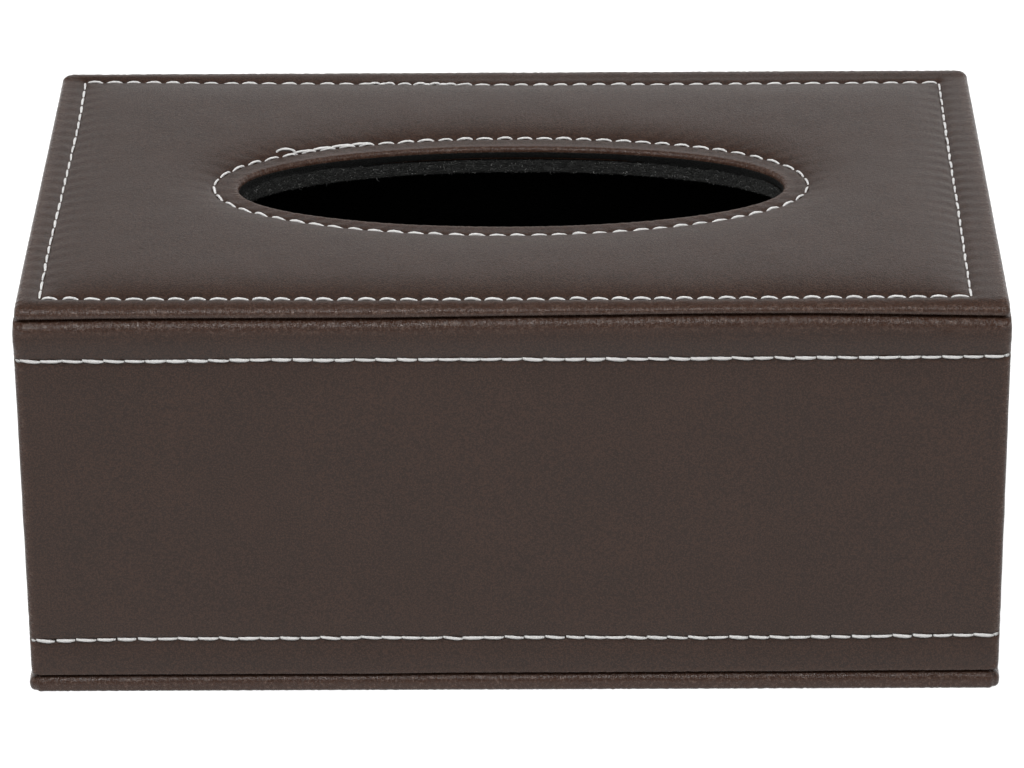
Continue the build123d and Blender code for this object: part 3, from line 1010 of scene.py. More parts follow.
    def pair(
        self,
        panel: str,
        path: Callable[[float], SeamPath],
        rows: Sequence[float],
        body: Body,
        seed: int,
    ) -> None:
        """Sews the upper and the lower row of a panel.

        Args:
            panel: the panel's name, with which the names of both rows begin.
            path: what gives the lines of a row at a height of the panel.
            rows: heights of both rows on the panel, the upper one first.
            body: the body that they move with.
            seed: number that the upper row's unevenness follows.
        """
        for number, (side, row) in enumerate(zip(("upper", "lower"), rows)):
            name, node = f"{panel}_thread_{side}", f"{panel}_stitching_{side}"
            self.row(name, path(row), body, [node], seed + number, self.flat, slant=self.FLAT_SLANT)

    def close(self) -> None:
        """Takes away the strands that the rows were made from."""
        for strand in (self.arched, self.flat):
            bpy.data.objects.remove(strand)


def planted(
    bench: NodeBench, shape: Socket, laid: dict[str, Socket], seed: Socket, finish: Socket
) -> Socket:
    """Copies of a shape, each with a random tone of its own, made real and given a finish.

    Args:
        bench: the tree's bench.
        shape: the object that is copied.
        laid: the points that get a copy, with its rotation and scale there.
        seed: number that the tones follow.
        finish: the copies' material.

    Returns:
        The copies, as a mesh.
    """
    copied = bench.add("GeometryNodeObjectInfo", {"Object": shape}).outputs["Geometry"]
    placed = bench.add("GeometryNodeInstanceOnPoints", {"Instance": copied, **laid}).outputs[0]
    feeds = {"Seed": bench.plus(seed, TONE_SEED)}
    tone = bench.add("FunctionNodeRandomValue", feeds, data_type="FLOAT").outputs[1]
    feeds = {"Geometry": placed, "Name": "tone", "Value": tone}
    kind = "GeometryNodeStoreNamedAttribute"
    toned = bench.add(kind, feeds, data_type="FLOAT", domain="INSTANCE").outputs[0]
    real = bench.add("GeometryNodeRealizeInstances", {"Geometry": toned}).outputs[0]
    return bench.add("GeometryNodeSetMaterial", {"Geometry": real, "Material": finish}).outputs[0]


def realised(
    carrier: Thing, modifier: bpy.types.Modifier, values: dict[str, object], name: str
) -> Thing:
    """Turns what a Geometry Nodes modifier makes into a plain mesh object.

    Args:
        carrier: the object that has the modifier. It is removed.
        modifier: the modifier.
        values: the modifier's inputs, by socket name.
        name: name of the new object.

    Returns:
        The new object.
    """
    for item in modifier.node_group.interface.items_tree:
        if item.item_type == "SOCKET" and item.in_out == "INPUT" and item.name in values:
            modifier[item.identifier] = values[item.name]
    graph = bpy.context.evaluated_depsgraph_get()
    graph.update()
    mesh = bpy.data.meshes.new_from_object(carrier.evaluated_get(graph))
    mesh.name = name
    carrier.modifiers.remove(modifier)
    bpy.data.objects.remove(carrier)
    return link(bpy.data.objects.new(name, mesh))


# ---- panels wrapped in leather ----

Relief = Callable[[Array, Array], Array]
Placing = Callable[[Array, Array, Array], Array]


def run_of_x(u: Array) -> Array:
    """Shares of x, y and z in the way along a panel's width, where that is x all over."""
    return np.stack([1 + 0 * u, 0 * u, 0 * u], axis=-1)


@dataclass
class WrappedPanel:
    """A board wrapped in leather, whose margins are turned in over its back.

    Places on it are u along its width, v along its height and w down from its outer face.
    """

    name: str
    width: float
    height: float
    thickness: float
    place: Placing
    relief: Relief
    cell: float
    row_lines: Sequence[float]
    row_cell: float = 3.0
    row_close: float = 0.3
    column_lines: Sequence[float] = ()
    margin: float = SHEETS.margin
    leather: float = SHEETS.leather
    corner: float = SHEETS.panel_corner
    edges: Edges = (SHEETS.edge_round,) * 4
    back_edge: float = 0.8
    upright: Triple = (0.0, 0.0, 1.0)
    level: Callable[[Array], Array] = run_of_x
    flank: Optional[Callable[[Array, Array, Array], Array]] = None
    crease_seed: int = 11
    crease_height: float = 0.05
    fold_reach: float = 2.2
    arc_steps: int = 8

    def __post_init__(self) -> None:
        """Places the columns and rows of the face, with a few for each rounded corner."""
        bottom, right, top, left = self.edges
        close = self.cell * 0.6
        self.columns = self._spaced(self.width, (left, right), self.cell, self.column_lines, close)
        close = self.row_close
        self.rows = self._spaced(self.height, (bottom, top), self.row_cell, self.row_lines, close)

    def _spaced(
        self, length: float, ends: Pair, cell: float, lines: Sequence[float], close: float
    ) -> Array:
        """Places along the width or height, between the rounds of the edges at its ends."""
        low, high = -length / 2 + self.corner, length / 2 - self.corner
        inner = gathered(low, high, cell, (*lines, low, high), close, 1.5)
        turn = np.linspace(0, 1, 4, endpoint=False)
        start = low - (self.corner - ends[0]) * (1 - turn)
        end = high + (self.corner - ends[1]) * (1 - turn[::-1])
        return np.concatenate([start, inner, end])

    def border(self) -> tuple[Array, Array, Array]:
        """Places round the face's border, the outward direction and the edge's radius at each."""
        us, vs = self.columns, self.rows
        bottom, right, top, left = self.edges
        sides = [
            (us[:-1], 0 * us[1:] + vs[0], (0, -1), bottom),
            (0 * vs[1:] + us[-1], vs[:-1], (1, 0), right),
            (us[:0:-1], 0 * us[1:] + vs[-1], (0, 1), top),
            (0 * vs[1:] + us[0], vs[:0:-1], (-1, 0), left),
        ]
        outline = np.concatenate([np.column_stack([u, v]) for u, v, _, _ in sides])
        normals = np.concatenate([np.tile(n, (len(u), 1)) for u, _, n, _ in sides]).astype(float)
        edges = np.concatenate([np.full(len(u), e) for u, _, _, e in sides])
        half = np.array([self.width / 2, self.height / 2])
        for sign_u, e_u in ((-1, left), (1, right)):
            for sign_v, e_v in ((-1, bottom), (1, top)):
                sign = np.array([sign_u, sign_v])
                centre = sign * (half - self.corner)
                gap = np.abs(outline - sign * (half - np.array([e_u, e_v])))
                reach_u, reach_v = self.corner - e_u, self.corner - e_v
                level = (gap[:, 1] < 1e-9) & (gap[:, 0] < reach_u - 1e-9)
                upright = (gap[:, 0] < 1e-9) & (gap[:, 1] < reach_v - 1e-9)
                from_level = 90 - 45 * (1 - gap[:, 0] / reach_u)
                turn = np.where(level, from_level, 45 * (1 - gap[:, 1] / reach_v))
                turn = np.radians(np.where(level & upright, 45.0, turn))
                out = np.column_stack([sign_u * np.cos(turn), sign_v * np.sin(turn)])
                edge = e_v * np.sin(turn) ** 2 + e_u * np.cos(turn) ** 2
                near = level | upright
                outline[near] = (centre + out * (self.corner - edge)[:, None])[near]
                normals[near] = out[near]
                edges[near] = edge[near]
        return outline, normals, edges

    def wrinkle(self, u: Array, v: Array, past: Array) -> Array:
        """Height of the creases at a place, past being its way over the edge."""
        share = self.sideways(u, v)
        level = Creases(1.7, self.crease_height, self.crease_seed).at(u, past)
        upright = Creases(1.7, self.crease_height, self.crease_seed + 1).at(v, past)
        return (1 - share) * level + share * upright

    def sideways(self, u: Array, v: Array) -> Array:
        """How far the nearest edge is a left or right one, from 0 to 1."""
        du = np.maximum(self.width / 2 - np.abs(u), 0.05) ** 2
        dv = np.maximum(self.height / 2 - np.abs(v), 0.05) ** 2
        return dv / (du + dv)

    def ways(self, u: Array, v: Array) -> Array:
        """Shares of x, y and z in the way that the nearest edge runs."""
        share = self.sideways(u, v)[..., None]
        return (1 - share) * self.level(u) + share * np.array(self.upright)

    def build(self) -> Thing:
        """Makes the leather as one closed shell."""
        draft = MeshDraft()
        outline, normals, edges = self.border()
        us, vs = np.meshgrid(self.columns, self.rows)
        us, vs = us.copy(), vs.copy()
        numbers = self._border_numbers(np.arange(us.size).reshape(us.shape))
        us.ravel()[numbers] = outline[:, 0]
        vs.ravel()[numbers] = outline[:, 1]
        bottom, right, top, left = self.edges
        rim_u = np.where(us > 0, self.width / 2 - right - us, self.width / 2 - left + us)
        rim_v = np.where(vs > 0, self.height / 2 - top - vs, self.height / 2 - bottom + vs)
        rim = np.minimum(rim_u, rim_v)
        rim.ravel()[numbers] = 0.0
        rim = np.maximum(rim, 0.0)
        fold = smooth((self.fold_reach - rim) / self.fold_reach)
        lift = self.relief(us, vs) + fold * self.wrinkle(us, vs, -rim)
        face = draft.add(self.place(us, vs, -lift), 0.4 * fold, self.ways(us, vs))
        draft.patch(face)

        rings = [self._border_numbers(face)]
        flat_u, flat_v = outline[:, 0], outline[:, 1]
        border_lift = self.relief(flat_u, flat_v)
        ways = self.ways(flat_u, flat_v)
        for out, depth, outward, upward, mask, past in self.profile(edges):
            spot = outline + normals * out[:, None]
            lift = border_lift * max(upward, 0.0) + self.wrinkle(flat_u, flat_v, past) * mask
            if self.flank is not None:
                lift = lift + self.flank(flat_u, flat_v, depth) * outward
            spot = spot + normals * (outward * lift)[:, None]
            points = self.place(spot[:, 0], spot[:, 1], depth - upward * lift)
            rings.append(draft.add(points, mask * (0.4 + 0.6 * smooth(1.4 * outward)), ways))
        base = outline + normals * (edges - self.back_edge)[:, None]
        half = np.array([self.width / 2, self.height / 2])
        inside = [(m, self.thickness) for m in np.linspace(self.back_edge, self.margin, 5)[1:]]
        inside.append((self.margin, self.thickness - self.leather))
        inside.append((self.leather, self.thickness - self.leather))
        inside.append((self.leather, self.leather))
        for inward, depth in inside:
            spot = base * (half - inward) / (half - self.back_edge)
            points = self.place(spot[:, 0], spot[:, 1], np.full(len(spot), depth))
            rings.append(draft.add(points, 0.15, ways))
        for first, second in zip(rings[:-1], rings[1:]):
            draft.strip(second, first, closed=True)
        self._close(draft, rings[-1])
        return draft.finish(self.name)

    def _close(self, draft: MeshDraft, ring: Array) -> None:
        """Closes the hidden inner face column by column, so that it bends with the panel."""
        across, up = len(self.columns) - 1, len(self.rows) - 1
        bottom, top = ring[: across + 1], ring[across + up : 2 * across + up + 1][::-1]
        right = ring[across : across + up + 1]
        left = np.append(ring[2 * across + up :], ring[0])[::-1]
        draft.strip(top[1:-1], bottom[1:-1])
        draft.cap(np.concatenate([left, [top[1], bottom[1]]]))
        draft.cap(np.concatenate([right[::-1], [bottom[-2], top[-2]]]))

    def profile(self, edges: Array) -> list[tuple[Array, Array, float, float, float, Array]]:
        """Rings from the face's border over the edge and behind the board.

        Args:
            edges: radius of the edge at each place of the border.

        Returns:
            For each ring the distance out from the border, the depth w, the outward and the upward
            share of the surface direction, the fold mask, and the way from the border.
        """
        rings = []
        for k in range(1, self.arc_steps + 1):
            a = 0.5 * math.pi * k / self.arc_steps
            out, depth = edges * math.sin(a), edges * (1 - math.cos(a))
            rings.append((out, depth, math.sin(a), math.cos(a), 1.0, edges * a))
        last = self.thickness - self.back_edge
        for share in (0.2, 0.5, 0.8):
            depth = edges + (last - edges) * share
            rings.append((edges, depth, 1.0, 0.0, 0.8, edges * 0.5 * math.pi + depth - edges))
        for k in range(self.arc_steps + 1):
            a = 0.5 * math.pi * k / self.arc_steps
            out = edges - self.back_edge * (1 - math.cos(a))
            depth = last + self.back_edge * math.sin(a) + 0 * edges
            past = last + self.back_edge * a + 0 * edges
            rings.append((out, depth, math.cos(a), -math.sin(a), 0.85, past))
        return rings

    @staticmethod
    def _border_numbers(grid: Array) -> Array:
        """Numbers round a grid's border, in the order of the outline."""
        return np.concatenate([grid[0, :-1], grid[:-1, -1], grid[-1, :0:-1], grid[:0:-1, 0]])


@dataclass
class RowRelief:
    """Relief of a stitched panel: grooves, needle holes, puckers and soft unevenness."""

    row_heights: Pair
    first_hole: float
    pitch: float
    top: float
    bottom: float
    seed: int
    groove: float = 0.3
    pinch: float = 0.3
    hole: float = 0.4
    pucker: float = 0.06
    crown: float = 0.5
    foot_crown: float = 0.2
    groove_width: float = 0.8
    pinch_width: float = 4.2
    pucker_reach: float = 2.6
    hole_width: float = 0.55
    dents: tuple[tuple[float, ...], ...] = ()
    strays: tuple[tuple[float, ...], tuple[float, ...], tuple[float, ...]] = ((0.0,),) * 3

    def along_row(self, u: Array, v: Array) -> Array:
        """Relief without the needle holes, for thread that lies on it."""
        total = Ripple(62, 0.1, self.seed).at(u, v) + Ripple(19, 0.028, self.seed + 1).at(u, v)
        for row in self.row_heights:
            off = v - row - self.wander(u, row)
            groove = well(off, self.groove_width)
            total = total - self.groove * groove - self.pinch * well(off, self.pinch_width)
            beat = np.cos(2 * math.pi * (u - self.first_hole) / self.pitch)
            puff = 1 - groove
            total = total - self.pucker * beat * np.exp(-np.abs(off) / self.pucker_reach) * puff
        upper = (v - self.row_heights[0]) / (self.top - self.row_heights[0])
        total = total + self.crown * np.sin(math.pi * np.clip(upper, 0, 1)) ** 1.5
        lower = (self.row_heights[1] - v) / (self.row_heights[1] - self.bottom)
        total = total + self.foot_crown * np.sin(math.pi * np.clip(lower, 0, 1)) ** 1.5
        for u0, v0, size, depth in self.dents:
            across, up = (u - u0) / size, (v - v0) / (1.3 * size)
            total = total - depth * np.exp(-(across**2) - up**2)
        return total

    def wander(self, u: Array, row: float) -> Array:
        """How far the row strays up or down along the panel."""
        places, upper, lower = self.strays
        stray = np.interp(u, places, upper if row > 0 else lower)
        return stray + Ripple(70, 0.16, self.seed + 3 + int(row > 0)).at(u, np.zeros(np.shape(u)))

    def __call__(self, u: Array, v: Array) -> Array:
        """Relief of the leather at places of the panel."""
        total = self.along_row(u, v)
        for row in self.row_heights:
            off = v - row - self.wander(u, row)
            past = np.abs((u - self.first_hole + self.pitch / 2) % self.pitch - self.pitch / 2)
            width = self.hole_width
            total = total - self.hole * np.exp(-((past / width) ** 2) - (off / width) ** 2)
        return total


# ---- the drawer's front ----


@dataclass
class DrawerFront:
    """The leather front of the drawer and its two rows of thread."""

    workshop: Workshop
    sewing: Sewing
    cell: float = 0.53
    seed: int = 21
    edges: Edges = (0.6, 1.5, 3.1, 1.5)
    corner: float = 3.3
    corner_fill: float = 0.8
    warp_reach: float = 9.0
    foot_drop: float = 0.15
    end_rise: float = 0.35
    turn_spacing: float = 0.45
    back_spacing: float = 0.6

    def __post_init__(self) -> None:
        """Works out the panel from the frame."""
        self.space = Extent.of("front_cover")
        self.width, self.thickness, self.height = self.space.size
        self.centre = self.space.centre
        self.side_edge = self.edges[1]
        flat = self.width / 2 - self.side_edge
        self.stitches = round(2 * flat / SHEETS.stitch_pitch)
        self.pitch = 2 * flat / self.stitches
        rows = (self.height / 2 - SHEETS.row_from_top, -self.height / 2 + SHEETS.row_from_bottom)
        top = self.height / 2
        self.relief = RowRelief(
            rows, -flat, self.pitch, top, -top, self.seed,
            dents=(
                (108.6, top - 1.4, 1.3, 0.55),
                (110.6, top - 1.0, 0.9, 0.35),
                (-12.0, top - 0.4, 2.4, 0.2),
            ),
            strays=(
                (-122.0, -110.0, -95.0, -63.0, -45.0, -3.0, 42.0, 57.0, 72.0, 87.0, 99.0, 117.0),
                (-0.48, -0.64, -0.45, 0.06, -0.28, -0.34, -0.36, -0.42, -0.53, -0.31, -0.11, 0.08),
                (-0.84, -0.62, -0.48, -0.2, -0.39, 0.0, -0.53, -0.56, -0.5, -0.34, -0.22, -0.22),
            ),
        )

    def place(self, u: Array, v: Array, w: Array) -> Array:
        """Point of the panel in the frame."""
        top = smooth(1 + (v - self.height / 2) / self.warp_reach)
        foot = smooth(1 - (v + self.height / 2) / self.warp_reach)
        rise = gap_rise(u) * top + (BASE_TILT * u - self.foot_drop) * foot
        x, z = self.centre[0] + u, self.centre[2] + v + rise
        return np.stack([x, self.space.low[1] + w, z], axis=-1)

    def fill(self, u: Array, v: Array, w: Array) -> Array:
        """How far the leather folded at the corners swells out, so that they look nearly square."""
        across = np.maximum(np.abs(u) - self.width / 2 + self.corner, 0)
        up = np.maximum(np.abs(v) - self.height / 2 + self.corner, 0)
        longest = np.maximum(np.maximum(across, up), 1e-6)
        return self.corner_fill * self.corner * (np.maximum(np.hypot(across, up) / longest, 1) - 1)

    def make(self) -> None:
        """Builds and mounts the leather and its thread."""
        panel = WrappedPanel(
            "front_leather", self.width, self.height, self.thickness, self.place, self.relief,
            self.cell, self.relief.row_heights, corner=self.corner, edges=self.edges,
            flank=self.fill, crease_seed=31, crease_height=0.055, fold_reach=1.2,
        )
        self.workshop.mount(panel.build(), Body.DRAWER, Slot.LEATHER, "front_cover")
        self.sewing.pair("front", self.path, self.relief.row_heights, Body.DRAWER, self.seed)

    def path(self, row: float) -> SeamPath:
        """Lines of one row: across the face, round both upright edges and a little way back."""
        seam = SeamPath()
        edge_round = self.side_edge
        flat = self.width / 2 - edge_round
        u = np.linspace(-flat, flat, 8 * self.stitches + 1)
        v = row + self.relief.wander(u, row)
        lift = self.relief.along_row(u, v)
        seam.add(self.place(u, v, -lift), np.tile([0.0, -1.0, 0.0], (len(u), 1)))
        turn = np.linspace(0, math.pi / 2, 7)
        for side in (-1, 1):
            edge = side * flat
            level = row + float(self.relief.wander(np.array(edge), row))
            sink = float(self.relief.along_row(np.array(edge), np.array(level)))
            reach = edge_round + sink
            around = edge + side * reach * np.sin(turn)
            depth = edge_round - reach * np.cos(turn)
            rise = level + self.end_rise * np.sin(turn)
            outward = np.stack([side * np.sin(turn), -np.cos(turn), np.zeros(7)], axis=-1)
            seam.add(self.place(around, rise, depth), outward, self.turn_spacing)
            back = np.linspace(edge_round, self.thickness - 1.2, 4)
            flank = (np.full(4, edge + side * reach), np.full(4, level + self.end_rise))
            outward = np.tile([side * 1.0, 0.0, 0.0], (4, 1))
            seam.add(self.place(*flank, back), outward, self.back_spacing)
        return seam


# ---- the walls ----


@dataclass
class WallBand:
    """The leather band round the left, back and right walls, and its two rows of thread."""

    workshop: Workshop
    sewing: Sewing
    cell: float = 0.88
    inset: float = 0.2
    seed: int = 51
    row_end: float = 0.8
    row_step: float = 0.8
    corner_spacing: float = 0.45

    def __post_init__(self) -> None:
        """Works out the band from the frame."""
        self.space = Extent.of("wall_cover")
        size = self.space.size
        self.height = size[2]
        self.thickness = Extent.of("side_board_left").size[0] + 2 * SHEETS.leather - self.inset
        self.radius = SHEETS.wall_corner
        self.half = size[0] / 2 - self.inset
        self.front, self.back = self.space.low[1], self.space.high[1] - self.inset
        self.side_run = self.back - self.front - self.radius
        self.back_run = 2 * (self.half - self.radius)
        self.corner_run = self.radius * math.pi / 2
        self.width = 2 * self.side_run + self.back_run + 2 * self.corner_run
        turned = [self.corner_run, self.back_run, self.corner_run]
        self.bounds = np.cumsum([0, self.side_run, *turned, self.side_run])
        flat = self.width / 2 - SHEETS.edge_round
        self.stitches = round(2 * flat / SHEETS.stitch_pitch)
        self.pitch = 2 * flat / self.stitches
        front = Extent.of("front_cover")
        middle = self.space.centre[2]
        upper = front.high[2] - SHEETS.row_from_top - middle
        rows = (upper, front.low[2] + SHEETS.row_from_bottom - middle)
        self.relief = RowRelief(
            rows, -flat, self.pitch, self.height / 2, -self.height / 2, self.seed,
            groove=0.16, pinch=0.1, hole=0.12, pucker=0.04, crown=0.3,
        )

    def place(self, u: Array, v: Array, w: Array) -> Array:
        """Point of the band in the frame, bent round the three walls."""
        u, v, w = np.broadcast_arrays(u, v, w)
        bounds = self.bounds
        run = np.clip(u + self.width / 2, -20, self.width + 20)
        radius = np.maximum(self.radius - w, 0.08)
        past = w - (self.radius - radius)
        half, back = self.half, self.back
        x = np.empty(run.shape)
        y = np.empty(run.shape)
        left = run <= bounds[1]
        x[left], y[left] = (-half + w)[left], (self.front + run)[left]
        right = run >= bounds[4]
        x[right], y[right] = (half - w)[right], (back - self.radius - (run - bounds[4]))[right]
        rear = (run >= bounds[2]) & (run <= bounds[3])
        x[rear], y[rear] = (-half + self.radius + run - bounds[2])[rear], (back - w)[rear]
        for side, start in ((-1, bounds[1]), (1, bounds[3])):
            here = (run > start) & (run < start + self.corner_run)
            turn = (run - start) / self.corner_run * math.pi / 2
            turn = turn if side < 0 else math.pi / 2 - turn
            out = np.stack([side * np.cos(turn), np.sin(turn)], axis=-1)
            inward = self.radius + past
            centre = np.stack([side * (half - inward), back - inward], axis=-1)
            spot = centre + out * radius[..., None]
            x[here], y[here] = spot[..., 0][here], spot[..., 1][here]
        return np.stack([x, y, self.space.centre[2] + v], axis=-1)

    def level(self, u: Array) -> Array:
        """Shares of x, y and z in the way along the band: y at the sides, x at the back."""
        run = u + self.width / 2
        before, after = run - self.bounds[1], self.bounds[4] - run
        back = smooth(before / self.corner_run) * smooth(after / self.corner_run)
        return np.stack([back, 1 - back, 0 * back], axis=-1)

    def make(self) -> None:
        """Builds and mounts the band and its thread."""
        corners = [sign * (self.back_run / 2 + self.corner_run / 2) for sign in (-1, 1)]
        panel = WrappedPanel(
            "wall_leather", self.width, self.height, self.thickness, self.place, self.relief,
            self.cell, self.relief.row_heights, row_cell=3.4, row_close=0.4,
            column_lines=corners, level=self.level, corner=SHEETS.edge_round + 0.4,
            crease_seed=57, arc_steps=5,
        )
        self.workshop.mount(panel.build(), Body.CASE, Slot.LEATHER, "wall_cover")
        self.sewing.pair("wall", self.path, self.relief.row_heights, Body.CASE, self.seed)

    def path(self, row: float) -> SeamPath:
        """Lines of one row: left wall, corner, back wall, corner, right wall."""
        seam = SeamPath()
        bounds = self.bounds - self.width / 2
        bounds[0] += self.row_end
        bounds[-1] -= self.row_end
        for number, (start, end) in enumerate(zip(bounds[:-1], bounds[1:])):
            u = np.linspace(start, end, max(9, round((end - start) / self.row_step)))
            v = row + self.relief.wander(u, row)
            lift = self.relief.along_row(u, v)
            points = self.place(u, v, -lift)
            outward = points - self.place(u, v, -lift + 1.0)
            seam.add(points, outward, self.corner_spacing if number in (1, 3) else 1.0)
        return seam


# ---- the base ----


@dataclass
class Base:
    """The leather of the base board: underside, edges and the turned margin on top."""

    workshop: Workshop
    seed: int = 71
    cell: float = 0.7
    sunk: float = 0.2
    foot_edge: float = 1.1
    top_edge: float = 2.3
    left_bulge: float = 0.95
    right_bulge: float = 0.45

    def make(self) -> None:
        """Builds and mounts the leather."""
        self.space = Extent.of("base_cover")
        self.width, self.depth, self.thickness = self.space.size
        panel = WrappedPanel(
            "base_leather", self.width, self.depth, self.thickness, self.place, self.relief,
            self.cell, (-self.depth / 2, self.depth / 2), row_cell=2.4, row_close=self.cell,
            edges=(self.foot_edge,) * 4, back_edge=self.top_edge, upright=(0.0, 1.0, 0.0),
            flank=self.flank, crease_seed=77, crease_height=0.07, arc_steps=6,
        )
        self.workshop.mount(panel.build(), Body.CASE, Slot.LEATHER, "base_cover")

    def place(self, u: Array, v: Array, w: Array) -> Array:
        """Point of the base in the frame, its outer face down, its top a little tilted and low."""
        stretch = 1 + (BASE_TILT * u - self.sunk) / self.thickness
        return np.stack([u, -v, self.space.low[2] + w * stretch], axis=-1)

    def relief(self, u: Array, v: Array) -> Array:
        """Unevenness that never drops below the surface it stands on."""
        inside = np.minimum(self.width / 2 - np.abs(u), self.depth / 2 - np.abs(v))
        return -np.abs(Ripple(55, 0.06, self.seed).at(u, v)) * smooth((inside - 2) / 12)

    def flank(self, u: Array, v: Array, w: Array) -> Array:
        """How far the edge swells out: most at the sides, where the folded corners are thick."""
        side = smooth((np.abs(u) - self.width / 2 + 4) / 4)
        swell = np.where(u < 0, self.left_bulge, self.right_bulge) * side
        belly = np.sin(math.pi * np.clip(w / self.thickness, 0, 1)) ** 0.7
        at_corner = smooth((np.abs(v) - self.depth / 2 + 3) / 2)
        tuck = 0.5 * well(np.abs(u) - self.width / 2 + 1.6, 0.35) * at_corner
        return (swell + 0.12 * Ripple(24, 0.6, self.seed + 4).at(u, v)) * belly - tuck


# ---- the top ----


def running(loop: Array) -> Array:
    """Way along a closed loop to each of its points."""
    steps = np.linalg.norm(np.diff(loop, axis=0, append=loop[:1]), axis=1)
    return np.concatenate([[0.0], np.cumsum(steps)[:-1]])


def loop_ways(loop: Array) -> Array:
    """Shares of x, y and z in the way that a closed loop runs at each of its points."""
    step = np.roll(loop, -1, axis=0) - np.roll(loop, 1, axis=0)
    squared = step**2 / np.maximum((step**2).sum(axis=1), 1e-12)[:, None]
    return np.column_stack([squared, np.zeros(len(loop))])


@dataclass(frozen=True)
class Oval:
    """An oval in the plane of the top, a little fuller along its far side if told so."""

    half: Pair
    centre: Pair
    full: float = 0.0

    def fullness(self, turn: Array) -> Array:
        """Share by which the oval is wider than a plain one."""
        far = np.maximum(np.sin(turn), 0)
        side = np.where(np.cos(turn) > 0, 1.0, 0.4)
        return 1 + self.full * (far + side * np.sin(2 * turn) ** 2 * (far > 0))

    def distance(self, x: Array, y: Array) -> Array:
        """Distance outside the oval, below 0 within it."""
        full = self.fullness(self.turn(x, y))
        dx, dy = (x - self.centre[0]) / full, (y - self.centre[1]) / full
        a, b = self.half
        reach = np.sqrt((dx / a) ** 2 + (dy / b) ** 2) + 1e-9
        slope = np.sqrt((dx / a**2) ** 2 + (dy / b**2) ** 2) / reach + 1e-9
        return (reach - 1) / slope

    def turn(self, x: Array, y: Array) -> Array:
        """Angle of the oval's own parameter at a place, from 0 to a full turn."""
        dx, dy = (x - self.centre[0]) / self.half[0], (y - self.centre[1]) / self.half[1]
        return np.arctan2(dy, dx) % (2 * math.pi)

    def at(self, turn: Array, outset: Values = 0.0) -> Array:
        """Places on the oval moved out by outset."""
        a, b = self.half
        spot = np.column_stack([a * np.cos(turn), b * np.sin(turn)]) * self.fullness(turn)[:, None]
        normal = np.column_stack([np.cos(turn) / a, np.sin(turn) / b])
        normal /= np.linalg.norm(normal, axis=1)[:, None]
        return spot + normal * (outset * np.ones(len(turn)))[:, None] + np.array(self.centre)


